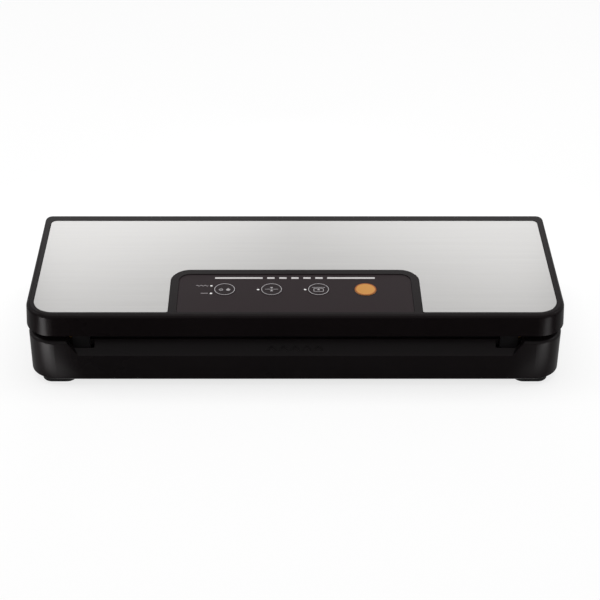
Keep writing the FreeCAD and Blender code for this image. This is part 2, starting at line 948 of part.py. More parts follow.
def make_control_board():
    blank = block(
        "control_board_blank",
        ("-board_half", "board_front", "board_under"),
        ("board_half", "board_front + board_depth", "board_top"),
    )
    holes = []
    for index, (x, y) in enumerate(board_post_spots):
        at = (x, y, "board_under - 1")
        holes.append(rod("board_hole_%d" % index, at, "screw_radius", "board_thickness + 2"))
    node(cut("control_board", blank, holes), "control_board")
    switches = []
    for index, x in enumerate(key_spots):
        half = "switch_width / 2"
        case = block(
            "switch_case_%d" % index,
            ("%s - %s" % (x, half), "key_y - %s" % half, "board_top"),
            ("%s + %s" % (x, half), "key_y + %s" % half, "switch_top - switch_tip_height"),
        )
        tip = rod(
            "switch_tip_%d" % index,
            (x, "key_y", "board_top + 1"),
            "switch_tip_radius",
            "switch_height - 1",
        )
        switches.append(joined("switch_%d" % index, [case, tip]))
    node(group("tact_switches", switches), "tact_switches")


def make_inner_cover():
    cover = slab(
        "inner_cover_blank",
        "inner_cover_under",
        "inner_cover_thickness",
        "lid_width / 2 - inner_cover_inset",
        "inner_cover_inset - lid_depth / 2",
        "lid_depth / 2 - inner_cover_inset",
        "lid_front_radius - inner_cover_inset",
        "lid_back_radius - inner_cover_inset",
    )
    solids = [cover]
    for index, (x, y) in enumerate(board_post_spots):
        tall = "board_under - inner_cover_top + 0.5"
        solids.append(
            rod("board_post_%d" % index, (x, y, "inner_cover_top - 0.5"), "board_post_radius", tall)
        )
    bores = []
    for index, start in enumerate(knuckle_starts()):
        end = "%s + knuckle_width" % start
        at = (start, "hinge_y", "hinge_z")
        solids.append(rod("knuckle_%d" % index, at, "knuckle_radius", "knuckle_width", "x"))
        low = (start, "hinge_y - knuckle_radius * 0.8", "hinge_z")
        high = (end, "hinge_y + knuckle_radius * 0.8", "inner_cover_under + 1")
        solids.append(block("knuckle_root_%d" % index, low, high))
        at = ("%s - 1" % start, "hinge_y", "hinge_z")
        radius = "pin_radius + pin_clearance"
        bores.append(rod("knuckle_bore_%d" % index, at, radius, "knuckle_width + 2", "x"))
    tools = [ring("upper_groove", "inner_cover_under - 1", "upper_groove + 1", "seat_clearance")]
    low = ("-strip_half", "rail_y - strip_width / 2", "inner_cover_under - 1")
    high = ("strip_half", "rail_y + strip_width / 2", "upper_groove_top")
    grown_low = ["%s - seat_clearance" % text for text in low[:2]] + [low[2]]
    grown_high = ["%s + seat_clearance" % text for text in high[:2]] + [high[2]]
    tools.append(block("strip_groove", grown_low, grown_high))
    for index, (x, y) in enumerate(lid_screw_spots):
        at = (x, y, "inner_cover_under - 1")
        through = "inner_cover_thickness + 2"
        tools.append(rod("cover_hole_%d" % index, at, "screw_bore", through))
        deep = "screw_head_height + 1"
        tools.append(rod("cover_sink_%d" % index, at, "head_bore", deep))
    for index, (x, y) in enumerate(board_post_spots):
        at = (x, y, "inner_cover_top - 1")
        through = "board_under - inner_cover_top + 2"
        tools.append(rod("board_post_hole_%d" % index, at, "board_post_bore", through))
    cover = joined("inner_cover_solid", solids)
    node(cut("lid_inner_cover", cover, tools + bores), "lid_inner_cover")


def knuckle_starts():
    starts = []
    for side in (-1, 1):
        middle = "%d * hinge_offset" % side
        starts.append("%s - lug_width / 2 - knuckle_gap - knuckle_width" % middle)
        starts.append("%s + lug_width / 2 + knuckle_gap" % middle)
    return starts


def make_lid_seals():
    tall = "upper_groove_top - upper_gasket_under"
    node(ring("upper_gasket", "upper_gasket_under", tall, "0"), "upper_gasket")
    strip = block(
        "pressure_strip",
        ("-strip_half", "rail_y - strip_width / 2", "tape_top + seal_gap"),
        ("strip_half", "rail_y + strip_width / 2", "upper_groove_top"),
    )
    node(strip, "pressure_strip")
    screws = []
    for index, (x, y) in enumerate(lid_screw_spots):
        screws.append(screw("lid_screw_%d" % index, (x, y, "inner_cover_under")))
    node(group("lid_screws", screws), "lid_screws")


def make_hooks():
    points = [
        ("hook_inner", "inner_cover_under"),
        ("hook_inner", "hook_tip + hook_nose * 2"),
        ("hook_inner - hook_nose", "hook_tip + hook_nose * 1.4"),
        ("hook_inner - hook_nose", "hook_tip + hook_nose * 0.8"),
        ("hook_inner", "hook_tip"),
        ("hook_outer", "hook_tip"),
        ("hook_outer", "inner_cover_under"),
    ]
    arm = side_profile("hook_arm", points, "hook_y + hook_thickness / 2", "hook_thickness")
    flange = block(
        "hook_flange_block",
        ("hook_inner - 1", "hook_y - hook_thickness / 2", "inner_cover_under - hook_flange"),
        ("hook_outer + 1", "hook_y + hook_thickness", "inner_cover_under"),
    )
    right = joined("hook_right", [arm, flange])
    node(mirrored("hook_left", right), "hook_left")
    node(right, "hook_right")


def lip_wedge(name, drop, side, inward):
    # Slanted bag lip between the corner posts, moved into the base by a wall thickness.
    piece = doc.addObject("Part::Wedge", name)
    bind(
        piece,
        Xmin="-(lip_half + %s)" % side,
        Xmax="lip_half + %s" % side,
        X2min="-(channel_half + %s)" % side,
        X2max="channel_half + %s" % side,
        Ymin="base_top - lip_height - %s" % drop,
        Ymax="base_top - %s" % drop,
        Zmin="-base_front - %s" % inward,
        Z2min="-base_front - lip_height - %s" % inward,
    )
    outside = "-base_front + 6" if drop == "0" else "-base_front - base_wall / 8"
    bind(piece, Zmax=outside, Z2max=outside)
    piece.Placement = FreeCAD.Placement(
        FreeCAD.Vector(), FreeCAD.Rotation(FreeCAD.Vector(1, 0, 0), 90)
    )
    return piece


def hinge_lugs():
    # Lugs that stand on the rear ledge and carry the hinge pins.
    lugs = []
    for side in (-1, 1):
        name = "left" if side < 0 else "right"
        start = "%d * hinge_offset - lug_width / 2" % side
        at = (start, "hinge_y", "hinge_z")
        lugs.append(rod("lug_" + name, at, "knuckle_radius", "lug_width", "x"))
        low = (start, "hinge_y - knuckle_radius * 0.9", "ledge_top - 1")
        high = ("%s + lug_width" % start, "hinge_y + knuckle_radius * 0.9", "hinge_z")
        lugs.append(block("lug_root_" + name, low, high))
    return lugs


def trough_space(name, level, height):
    return slab(
        name,
        level,
        height,
        "trough_half",
        "trough_front",
        "trough_back",
        "trough_radius",
        "trough_radius",
    )


def make_trough():
    # Tub for the vacuum, bonded under the deck by its rim, with a port for the pump and the valve.
    tub = slab(
        "trough_tub",
        "deck_top - trough_depth - base_wall",
        "trough_depth + base_wall - base_roof",
        "trough_half + base_wall",
        "trough_front - base_wall",
        "tub_back",
        "trough_radius + base_wall",
        "trough_radius + base_wall",
    )
    reach = "base_wall + trough_rim_width"
    rim = slab(
        "trough_rim",
        "deck_under - trough_rim_thickness",
        "trough_rim_thickness",
        "trough_half + %s" % reach,
        "trough_front - (%s)" % reach,
        "trough_back + %s" % reach,
        "trough_radius + %s" % reach,
        "trough_radius + %s" % reach,
    )
    solids = [tub, rim]
    cutters = [trough_space("trough_bowl", "deck_top - trough_depth", "trough_depth")]
    for name, x in (("pump", "pump_port_x"), ("valve", "valve_x")):
        at = (x, "tub_back - 1", "port_z")
        solids.append(rod(name + "_port", at, "nipple_radius", "nipple_length - 1", "y"))
        at = (x, "trough_back - 2", "port_z")
        cutters.append(rod(name + "_port_bore", at, "nipple_bore", "nipple_length + 6", "y"))
    node(cut("vacuum_trough", joined("vacuum_trough_solid", solids), cutters), "vacuum_trough")


def make_base_shell():
    outer = slab(
        "base_outer",
        "cover_top",
        "base_height",
        "base_half",
        "base_front",
        "base_back",
        "base_front_radius",
        "base_back_radius",
    )
    edge_dress(outer, "Fillet", "base_top", Radius="base_edge_round")
    hollow = slab(
        "base_hollow",
        "cover_top - 1",
        "base_height - base_roof + 1",
        "base_half - base_wall",
        "base_front + base_wall",
        "base_back - base_wall",
        "base_front_radius - base_wall",
        "base_back_radius - base_wall",
    )
    shell = cut("base_shell_open", outer, [hollow])
    lip_back = lip_wedge("lip_back", "base_roof", "base_wall", "base_wall * 0.4")
    under_channel = block(
        "channel_under",
        ("-channel_half - base_wall", "base_front + lip_height", "deck_under"),
        ("channel_half + base_wall", "channel_back + base_wall", "base_roof_under + 0.5"),
    )
    under_ledge = block(
        "ledge_under_block",
        ("base_wall - base_half", "ledge_front - base_wall", "ledge_under"),
        ("base_half - base_wall", "base_back - base_wall / 2", "base_roof_under + 0.5"),
    )
    under_rail = block(
        "rail_bed",
        (
            "-rail_half - terminal_length - base_wall",
            "rail_y - rail_width / 2 - base_wall",
            "rail_under - base_wall",
        ),
        (
            "rail_half + terminal_length + base_wall",
            "rail_y + rail_width / 2 + base_wall",
            "deck_under + 0.5",
        ),
    )
    solids = [shell, lip_back, under_channel, under_ledge, under_rail]
    for index, (x, y) in enumerate(base_screw_spots):
        tall = "deck_under - cover_top + 0.5"
        if abs(number(x)) > number("channel_half"):
            tall = "base_roof_under - cover_top + 0.5"
        solids.append(rod("base_boss_%d" % index, (x, y, "cover_top"), "post_radius", tall))
    lugs = hinge_lugs()
    solids += lugs
    above_ledge = block(
        "above_ledge",
        ("-lid_width", "ledge_front", "ledge_top"),
        ("lid_width", "lid_depth", "base_top + 8"),
    )
    cutters = [
        cut("ledge_cut", above_ledge, lugs),
        lip_wedge("lip_cut", "0", "0", "0"),
        block(
            "channel_cut",
            ("-channel_half", "base_front + lip_height - channel_depth", "deck_top"),
            ("channel_half", "channel_back", "base_top + 5"),
        ),
        trough_space("trough_mouth", "deck_under - 1", "base_roof + 2"),
        ring("lower_groove", "deck_top - gasket_groove", "gasket_groove + 1", "seat_clearance"),
        block(
            "rail_cut",
            (
                "-rail_half - terminal_length - seat_clearance",
                "rail_y - rail_width / 2 - seat_clearance",
                "rail_under",
            ),
            (
                "rail_half + terminal_length + seat_clearance",
                "rail_y + rail_width / 2 + seat_clearance",
                "deck_top + 1",
            ),
        ),
    ]
    for side in (-1, 1):
        name = "left" if side < 0 else "right"
        middle = "%d * hook_offset" % side
        half = "(hook_width / 2 + hook_nose + slot_clearance)"
        deep = "(hook_thickness / 2 + slot_clearance)"
        cutters.append(
            block(
                "hook_slot_" + name,
                ("%s - %s" % (middle, half), "hook_y - %s" % deep, "catch_top + 0.4"),
                ("%s + %s" % (middle, half), "hook_y + %s" % deep, "base_top + 5"),
            )
        )
        edge = "%d * base_half" % side
        cutters.append(
            block(
                "button_window_" + name,
                (
                    "%s - base_wall * 2" % edge,
                    "arm_y - button_clearance",
                    "button_z - button_height / 2 - button_clearance",
                ),
                (
                    "%s + base_wall * 2" % edge,
                    "arm_y + button_length + button_clearance",
                    "button_z + button_height / 2 + button_clearance",
                ),
            )
        )
    for index, (x, y) in enumerate(base_screw_spots):
        at = (x, y, "cover_top - 1")
        cutters.append(rod("base_bore_%d" % index, at, "screw_bore", "screw_length + 2"))
    cutters.append(
        block(
            "inlet_cut",
            (
                "inlet_x - inlet_width / 2 - seat_clearance",
                "base_back - base_wall - 2",
                "inlet_z - inlet_height / 2 - seat_clearance",
            ),
            (
                "inlet_x + inlet_width / 2 + seat_clearance",
                "base_back + 2",
                "inlet_z + inlet_height / 2 + seat_clearance",
            ),
        )
    )
    for side in (-1, 1):
        name = "left" if side < 0 else "right"
        at = ("%d * hinge_offset - lug_width / 2 - 1" % side, "hinge_y", "hinge_z")
        radius = "pin_radius + pin_clearance"
        cutters.append(rod("lug_bore_" + name, at, radius, "lug_width + 2", "x"))
    node(cut("base_shell", joined("base_shell_solid", solids), cutters), "base_shell")


def make_hinge_pins():
    for side in (-1, 1):
        name = "hinge_pin_left" if side < 0 else "hinge_pin_right"
        reach = "lug_width / 2 + knuckle_gap + knuckle_width"
        at = ("%d * hinge_offset - %s" % (side, reach.replace("+", "-")), "hinge_y", "hinge_z")
        node(rod(name, at, "pin_radius", "2 * (%s)" % reach, "x"), name)


def make_base_seals():
    tall = "lower_gasket_top - deck_top + gasket_groove"
    node(ring("lower_gasket", "deck_top - gasket_groove", tall, "0"), "lower_gasket")
    rail = block(
        "heater_rail",
        ("-rail_half", "rail_y - rail_width / 2", "rail_under"),
        ("rail_half", "rail_y + rail_width / 2", "rail_top"),
    )
    node(rail, "heater_rail")
    ends = []
    for side in (-1, 1):
        start = "rail_half" if side > 0 else "-rail_half - terminal_length"
        low = (start, "rail_y - rail_width / 2", "rail_under")
        high = ("%s + terminal_length" % start, "rail_y + rail_width / 2", "rail_top")
        ends.append(block("terminal_%d" % (side + 1), low, high))
    node(group("heater_terminals", ends), "heater_terminals")
    element = block(
        "heating_element",
        ("-rail_half - terminal_length / 2", "rail_y - element_width / 2", "rail_top"),
        ("rail_half + terminal_length / 2", "rail_y + element_width / 2", "tape_under"),
    )
    node(element, "heating_element")
    tape = block(
        "release_tape",
        ("-rail_half", "rail_y - tape_width / 2", "tape_under"),
        ("rail_half", "rail_y + tape_width / 2", "tape_top"),
    )
    node(tape, "release_tape")


def spring_shape():
    # Open coil from quarter-turn arcs along X, with the end turns at the fixed end and the catch.
    wire = number("spring_wire")
    radius = number("spring_radius")
    length = number("spring_length") - wire - 0.1
    quarters = int(number("spring_turns")) * 4
    start = FreeCAD.Vector(
        number("spring_end") + wire / 2 + 0.05, number("spring_y"), number("spring_z")
    )

    def spot(quarter):
        angle = math.pi / 2 * quarter
        along = length * quarter / quarters
        return start + FreeCAD.Vector(along, radius * math.cos(angle), radius * math.sin(angle))

    arcs = [
        Part.Arc(spot(step), spot(step + 0.5), spot(step + 1)).toShape()
        for step in range(quarters)
    ]
    path = Part.Wire(arcs)
    circle = Part.Circle(spot(0), arcs[0].tangentAt(arcs[0].FirstParameter), wire / 2)
    shell = Part.BRepOffsetAPI.MakePipeShell(path)
    shell.add(Part.Wire([circle.toShape()]))
    shell.build()
    shell.makeSolid()
    points = [spot(step / 4) for step in range(quarters * 4 + 1)]
    nearest = min(
        (points[first] - points[second]).Length
        for first in range(len(points))
        for second in range(first + 8, len(points))
    )
    print("least gap between spring turns", round(nearest - wire, 3))
    return shell.shape()


def make_releases():
    head = block(
        "button_head",
        (
            "base_half - base_wall - button_travel",
            "arm_y",
            "button_z - button_height / 2",
        ),
        (
            "base_half + button_proud",
            "arm_y + button_length",
            "button_z + button_height / 2",
        ),
    )
    arm = block(
        "button_arm",
        ("catch_inner", "arm_y", "catch_under"),
        ("base_half - base_wall - button_travel + 1", "arm_back", "catch_top"),
    )
    finger = block(
        "button_finger",
        ("catch_inner", "hook_y - hook_thickness / 2", "catch_under"),
        ("catch_inner + catch_width", "arm_y + 1", "catch_top"),
    )
    right = joined("release_button_right", [head, arm, finger])
    node(mirrored("release_button_left", right), "release_button_left")
    node(right, "release_button_right")
    spring = doc.addObject("Part::Feature", "return_spring_right")
    spring.Shape = spring_shape()
    node(mirrored("return_spring_left", spring), "return_spring_left")
    node(spring, "return_spring_right")
    middle, half, front, back = switch_place
    case = block(
        "lid_switch_case",
        ("%s - %s" % (middle, half), front, "cover_top + switch_case_rise"),
        ("%s + %s" % (middle, half), back, "catch_under"),
    )
    tip = rod("lid_switch_tip", ("hook_offset", "hook_y", "catch_under - 1"), 1, "catch_thickness")
    node(joined("lid_switch", [case, tip]), "lid_switch")


def foot_spots():
    x = "base_half - foot_side_inset - foot_length / 2"
    y = "base_back - foot_end_inset - foot_width / 2"
    spots = []
    for end, end_sign in (("front", "-1"), ("back", "1")):
        for side, side_sign in (("left", "-1"), ("right", "1")):
            name = "foot_%s_%s" % (end, side)
            spots.append((name, "%s * (%s)" % (side_sign, x), "%s * (%s)" % (end_sign, y)))
    return spots


def foot_form(name, level, height, x, y, grow):
    body = slab(
        name,
        level,
        height,
        "foot_length / 2 + %s" % grow,
        "-foot_width / 2 - %s" % grow,
        "foot_width / 2 + %s" % grow,
        "foot_radius + %s" % grow,
        "foot_radius + %s" % grow,
    )
    return placed(body, (x, y, "0"))


def make_bottom():
    blank = slab(
        "bottom_blank",
        "foot_height",
        "cover_thickness",
        "base_half",
        "base_front",
        "base_back",
        "base_front_radius",
        "base_back_radius",
    )
    edge_dress(blank, "Chamfer", "foot_height", Size="cover_chamfer")
    solids = [blank]
    tools = []
    for name, x, y in foot_spots():
        tools.append(foot_form(name + "_seat", "0", "foot_height + foot_plug", x, y, "0.1"))
    for index, (x, y) in enumerate(base_screw_spots):
        at = (x, y, "foot_height - 1")
        tools.append(rod("bottom_hole_%d" % index, at, "screw_bore", "cover_thickness + 2"))
        tools.append(rod("bottom_sink_%d" % index, at, "head_bore", "screw_head_height + 1"))
    for side in (-1, 1):
        name = "left" if side < 0 else "right"
        inner = "spring_end - spring_post"
        outer = "spring_end"
        low = (inner if side > 0 else "-(%s)" % outer, "arm_y", "cover_top - 0.5")
        high = (outer if side > 0 else "-(%s)" % inner, "arm_back", "catch_top + 2")
        solids.append(block("spring_post_" + name, low, high))
        near = "catch_inner + cradle_offset"
        far = "catch_inner + cradle_offset + cradle_length"
        low = (near if side > 0 else "-(%s)" % far, "arm_y - cradle_wall", "cover_top - 0.5")
        high = (far if side > 0 else "-(%s)" % near, "arm_back + cradle_wall", "catch_top")
        solids.append(block("arm_cradle_" + name, low, high))
        low = (
            "%s - 1" % (near if side > 0 else "-(%s)" % far),
            "arm_y - button_clearance",
            "catch_under - button_clearance",
        )
        high = (
            "%s + 1" % (far if side > 0 else "-(%s)" % near),
            "arm_back + button_clearance",
            "catch_top + 1",
        )
        tools.append(block("arm_way_" + name, low, high))
    middle, half, front, back = switch_place
    solids.append(
        block(
            "lid_switch_post",
            ("%s - %s" % (middle, half), front, "cover_top - 0.5"),
            ("%s + %s" % (middle, half), back, "cover_top + switch_case_rise"),
        )
    )
    for index, (x, y) in enumerate(power_post_spots()):
        at = (x, y, "cover_top - 0.5")
        tall = "power_rise + 0.5"
        solids.append(rod("power_post_%d" % index, at, "power_post_radius", tall))
    for index in range(int(number("vent_count"))):
        x = "motor_face + vent_start + %d * vent_pitch" % index
        low = (x, "motor_y - vent_length / 2", "foot_height - 1")
        high = ("%s + vent_width" % x, "motor_y + vent_length / 2", "cover_top + 1")
        tools.append(block("vent_%d" % index, low, high))
    node(cut("bottom_cover", joined("bottom_solid", solids), tools), "bottom_cover")
    for name, x, y in foot_spots():
        foot = foot_form(name, "0", "foot_height + foot_plug", x, y, "0")
        edge_dress(foot, "Fillet", "0", Radius="foot_edge_round")
        node(foot, name)
    screws = []
    for index, (x, y) in enumerate(base_screw_spots):
        screws.append(screw("bottom_screw_%d" % index, (x, y, "foot_height")))
    node(group("bottom_screws", screws), "bottom_screws")


def power_post_spots():
    return [
        (x, y)
        for x in ("power_left + power_post_inset", "power_right - power_post_inset")
        for y in ("power_front + power_post_inset", "power_back - power_post_inset")
    ]


def make_pump():
    case = block(
        "crankcase_block",
        ("case_left", "crankcase_front", "case_under"),
        ("motor_face", "crankcase_back", "case_under + crankcase_height"),
    )
    chamber = block(
        "crank_chamber",
        ("case_left + crankcase_wall * 2", "chamber_front", "case_under + crankcase_wall"),
        (
            "motor_face + 1",
            "crankcase_back - crankcase_wall",
            "case_under + crankcase_height - crankcase_wall",
        ),
    )
    bore = rod(
        "cylinder_bore",
        ("crank_x", "crankcase_front - 1", "motor_z"),
        "bore_radius",
        "chamber_front - crankcase_front + 2",
        "y",
    )
    node(cut("pump_crankcase", case, [chamber, bore]), "pump_crankcase")
    cap = block(
        "cylinder_cap",
        ("case_left", "head_front", "case_under"),
        ("motor_face", "crankcase_front", "case_under + crankcase_height"),
    )
    inlet = rod(
        "pump_inlet",
        ("case_left - nipple_length", "head_y", "port_z"),
        "head_thickness / 2",
        "nipple_length + 1",
        "x",
    )
    outlet = rod(
        "pump_outlet",
        ("motor_face - 1", "head_y", "port_z"),
        "head_thickness / 2",
        "nipple_length + 1",
        "x",
    )
    way = rod(
        "pump_way",
        ("case_left - nipple_length - 1", "head_y", "port_z"),
        "nipple_bore",
        "crankcase_length + nipple_length * 2 + 2",
        "x",
    )
    head = joined("cylinder_cap_ports", [cap, inlet, outlet])
    node(cut("cylinder_head", head, [way]), "cylinder_head")
    can = turned(
        "motor_can",
        [
            ("shaft_radius + shaft_clearance", "0"),
            ("motor_radius", "0"),
            ("motor_radius", "motor_length - 1.5"),
            ("motor_radius - 1.5", "motor_length"),
            ("shaft_radius + shaft_clearance", "motor_length"),
        ],
        ("motor_face", "motor_y", "motor_z"),
        "x",
    )
    node(can, "pump_motor")
    shaft = rod(
        "shaft_rod",
        ("crank_x - crank_width / 2 - 2", "motor_y", "motor_z"),
        "shaft_radius",
        "motor_face + motor_length - crank_x + crank_width / 2 + 4",
        "x",
    )
    disc = rod(
        "crank_disc",
        ("crank_x - crank_width / 2", "motor_y + crank_throw", "motor_z"),
        "crank_radius",
        "crank_width",
        "x",
    )
    node(joined("pump_crankshaft", [shaft, disc]), "pump_crankshaft")
    crown = rod(
        "piston_crown",
        ("crank_x", "crankcase_front + crank_throw + 1.5", "motor_z"),
        "bore_radius - bore_clearance",
        "piston_thickness",
        "y",
    )
    stem = block(
        "piston_stem",
        (
            "crank_x - crank_width / 2",
            "crankcase_front + crank_throw + 1 + piston_thickness",
            "motor_z - 2.5",
        ),
        ("crank_x + crank_width / 2", "motor_y - eye_inner - 0.4", "motor_z + 2.5"),
    )
    eye = rod(
        "piston_eye",
        ("crank_x - crank_width / 2", "motor_y", "motor_z"),
        "eye_outer",
        "crank_width",
        "x",
    )
    opening = rod(
        "piston_eye_bore",
        ("crank_x - crank_width", "motor_y", "motor_z"),
        "eye_inner",
        "crank_width * 2",
        "x",
    )
    node(cut("pump_piston", joined("piston_solid", [crown, stem, eye]), [opening]), "pump_piston")
    cradle = block(
        "bracket_block",
        ("motor_face + bracket_offset", "motor_y - motor_radius - bracket_wall", "cover_top"),
        (
            "motor_face + bracket_offset + bracket_length",
            "motor_y + motor_radius + bracket_wall",
            "motor_z",
        ),
    )
    bed = rod(
        "bracket_bed",
        ("motor_face", "motor_y", "motor_z"),
        "motor_radius + tube_clearance",
        "motor_length",
        "x",
    )
    node(cut("motor_bracket", cradle, [bed]), "motor_bracket")


def make_tubes():
    outer = []
    inner = []
    legs = (
        ("pump_tube_leg", ("pump_port_x", "tub_back + 0.5", "port_z"), "y"),
        ("pump_tube_run", ("pump_port_x + tube_bend", "head_y", "port_z"), "x"),
    )
    lengths = (
        "head_y - tube_bend - tub_back - 0.5",
        "case_left - 0.5 - pump_port_x - tube_bend",
    )
    hollow = "nipple_radius + tube_clearance"
    for (name, at, axis), length in zip(legs, lengths):
        outer.append(rod(name, at, "tube_radius", length, axis))
        inner.append(rod(name + "_bore", at, hollow, length, axis))
    for name, radius, pieces in (("bend", "tube_radius", outer), ("bend_bore", hollow, inner)):
        elbow = doc.addObject("Part::Torus", "pump_tube_" + name)
        bind(elbow, Radius1="tube_bend", Radius2=radius)
        elbow.Angle3 = 90
        at = ("pump_port_x + tube_bend", "head_y - tube_bend", "port_z")
        placed(elbow, at)
        elbow.Placement = FreeCAD.Placement(
            elbow.Placement.Base, FreeCAD.Rotation(FreeCAD.Vector(0, 0, 1), 90)
        )
        pieces.append(elbow)
    node(cut("vacuum_tube", joined("vacuum_tube_outer", outer), inner), "vacuum_tube")
    at = ("valve_x", "tub_back + 0.5", "valve_z")
    length = "valve_front - tub_back - 1"
    wall = rod("valve_tube_wall", at, "tube_radius", length, "y")
    way = rod("valve_tube_way", at, hollow, length, "y")
    node(cut("valve_tube", wall, [way]), "valve_tube")


def make_valve():
    half = "valve_body_width / 2"
    body = block(
        "valve_block",
        ("valve_x - %s" % half, "valve_front", "valve_z - %s" % half),
        ("valve_x + %s" % half, "coil_front", "valve_z + %s" % half),
    )
    nipple = rod(
        "valve_nipple", ("valve_x", "valve_front - 3", "valve_z"), "nipple_radius", 4, "y"
    )
    way = rod(
        "valve_way",
        ("valve_x", "valve_front - 4", "valve_z"),
        "nipple_bore",
        "valve_body_depth + 6",
        "y",
    )
    node(cut("valve_body", joined("valve_solid", [body, nipple]), [way]), "valve_body")
    bobbin = turned(
        "valve_coil",
        [
            ("plunger_radius + plunger_clearance", "0"),
            ("coil_radius", "0"),
            ("coil_radius", "1.2"),
            ("coil_radius - 0.8", "1.2"),
            ("coil_radius - 0.8", "coil_length - 1.2"),
            ("coil_radius", "coil_length - 1.2"),
            ("coil_radius", "coil_length"),
            ("plunger_radius + plunger_clearance", "coil_length"),
        ],
        ("valve_x", "coil_front", "valve_z"),
        "y",
    )
    node(bobbin, "valve_coil")
    floor = block(
        "frame_floor",
        ("valve_x - %s" % half, "valve_front", "cover_top"),
        ("valve_x + %s" % half, "coil_back + frame_thickness", "cover_top + frame_thickness"),
    )
    back = block(
        "frame_back",
        ("valve_x - %s" % half, "coil_back", "cover_top"),
        ("valve_x + %s" % half, "coil_back + frame_thickness", "valve_z + %s" % half),
    )
    rest = block(
        "frame_rest",
        ("valve_x - %s" % half, "valve_front", "cover_top"),
        ("valve_x + %s" % half, "coil_front", "valve_z - %s" % half),
    )
    hole = rod(
        "frame_hole",
        ("valve_x", "coil_back - 1", "valve_z"),
        "plunger_radius + plunger_clearance",
        "frame_thickness + 2",
        "y",
    )
    node(cut("valve_frame", joined("frame_solid", [floor, back, rest]), [hole]), "valve_frame")
    plunger = rod(
        "valve_plunger",
        ("valve_x", "coil_front + 0.2", "valve_z"),
        "plunger_radius",
        "coil_length + frame_thickness + plunger_tail",
        "y",
    )
    node(plunger, "valve_plunger")


def make_power():
    blank = block(
        "power_blank",
        ("power_left", "power_front", "power_under"),
        ("power_right", "power_back", "power_top"),
    )
    holes = []
    for index, (x, y) in enumerate(power_post_spots()):
        at = (x, y, "power_under - 1")
        holes.append(rod("power_hole_%d" % index, at, "screw_radius", "board_thickness + 2"))
    node(cut("power_board", blank, holes), "power_board")
    left = "power_left + core_offset"
    front = "power_front + core_offset"
    core = block(
        "transformer_core",
        (left, front, "power_top"),
        ("%s + core_length" % left, "%s + core_depth" % front, "power_top + core_height"),
    )
    winding = block(
        "transformer_winding",
        ("%s + winding_step" % left, "%s - winding_step" % front, "power_top + winding_rise"),
        (
            "%s + core_length - winding_step" % left,
            "%s + core_depth + winding_step" % front,
            "power_top + winding_rise + winding_height",
        ),
    )
    node(joined("transformer", [core, winding]), "transformer")
    can = turned(
        "capacitor",
        [
            ("0", "0"),
            ("capacitor_radius", "0"),
            ("capacitor_radius", "capacitor_height - capacitor_edge"),
            ("capacitor_radius - capacitor_edge", "capacitor_height"),
            ("0", "capacitor_height"),
        ],
        ("power_right - capacitor_inset", "power_front + capacitor_front", "power_top"),
    )
    node(can, "capacitor")
    relay = block(
        "relay",
        (
            "power_right - relay_inset - relay_length",
            "power_back - relay_margin - relay_depth",
            "power_top",
        ),
        ("power_right - relay_inset", "power_back - relay_margin", "power_top + relay_height"),
    )
    node(relay, "relay")


def make_inlet():
    body = block(
        "inlet_body",
        ("inlet_x - inlet_width / 2", "base_back - inlet_depth", "inlet_z - inlet_height / 2"),
        ("inlet_x + inlet_width / 2", "base_back", "inlet_z + inlet_height / 2"),
    )
    flange = block(
        "inlet_flange_plate",
        (
            "inlet_x - inlet_width / 2 - inlet_flange",
            "base_back",
            "inlet_z - inlet_height / 2 - inlet_flange",
        ),
        (
            "inlet_x + inlet_width / 2 + inlet_flange",
            "base_back + inlet_flange_thickness",
            "inlet_z + inlet_height / 2 + inlet_flange",
        ),
    )
    floor = "base_back + inlet_flange_thickness - inlet_recess"
    tools = []
    pins = []
    for side in (-1, 1):
        name = "left" if side < 0 else "right"
        x = "inlet_x + %d * inlet_pin_pitch / 2" % side
        at = (x, floor, "inlet_z")
        tools.append(rod("inlet_mouth_" + name, at, "inlet_mouth", "inlet_recess + 1", "y"))
        pins.append(rod("inlet_pin_" + name, at, "inlet_pin_radius", "inlet_pin_length", "y"))
    tools.append(
        block(
            "inlet_mouth_middle",
            ("inlet_x - inlet_pin_pitch / 2", floor, "inlet_z - inlet_mouth * 0.9"),
            (
                "inlet_x + inlet_pin_pitch / 2",
                "base_back + inlet_flange_thickness + 1",
                "inlet_z + inlet_mouth * 0.9",
            ),
        )
    )
    node(cut("inlet_socket", joined("inlet_solid", [body, flange]), tools), "inlet_socket")
    node(group("inlet_pins", pins), "inlet_pins")


def check_and_write():
    doc.recompute()
    faults = []
    for item in doc.Objects:
        if "Invalid" in item.State or "Error" in item.State:
            faults.append("%s is %s" % (item.Name, item.State))
    for piece in nodes:
        shape = piece.Shape
        if shape.isNull() or not shape.isValid() or not shape.Solids:
            faults.append("%s has no valid solid" % piece.Label)
    if faults:
        raise RuntimeError("; ".join(faults))
    os.makedirs("parts", exist_ok=True)
    for piece in nodes:
        piece.Shape.exportStep("parts/%s.step" % piece.Label)
        print(piece.Label, len(piece.Shape.Solids), round(piece.Shape.Volume, 1))


make_lid_shell()
make_top_plate()
make_panel()
make_lights()
make_keys()
make_control_board()
make_inner_cover()
make_lid_seals()
make_hooks()
make_base_shell()
make_trough()
make_hinge_pins()
make_base_seals()
make_releases()
make_bottom()
make_pump()
make_tubes()
make_valve()
make_power()
make_inlet()
check_and_write()
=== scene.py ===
import math

import bmesh
import bpy
from mathutils import Matrix, Vector


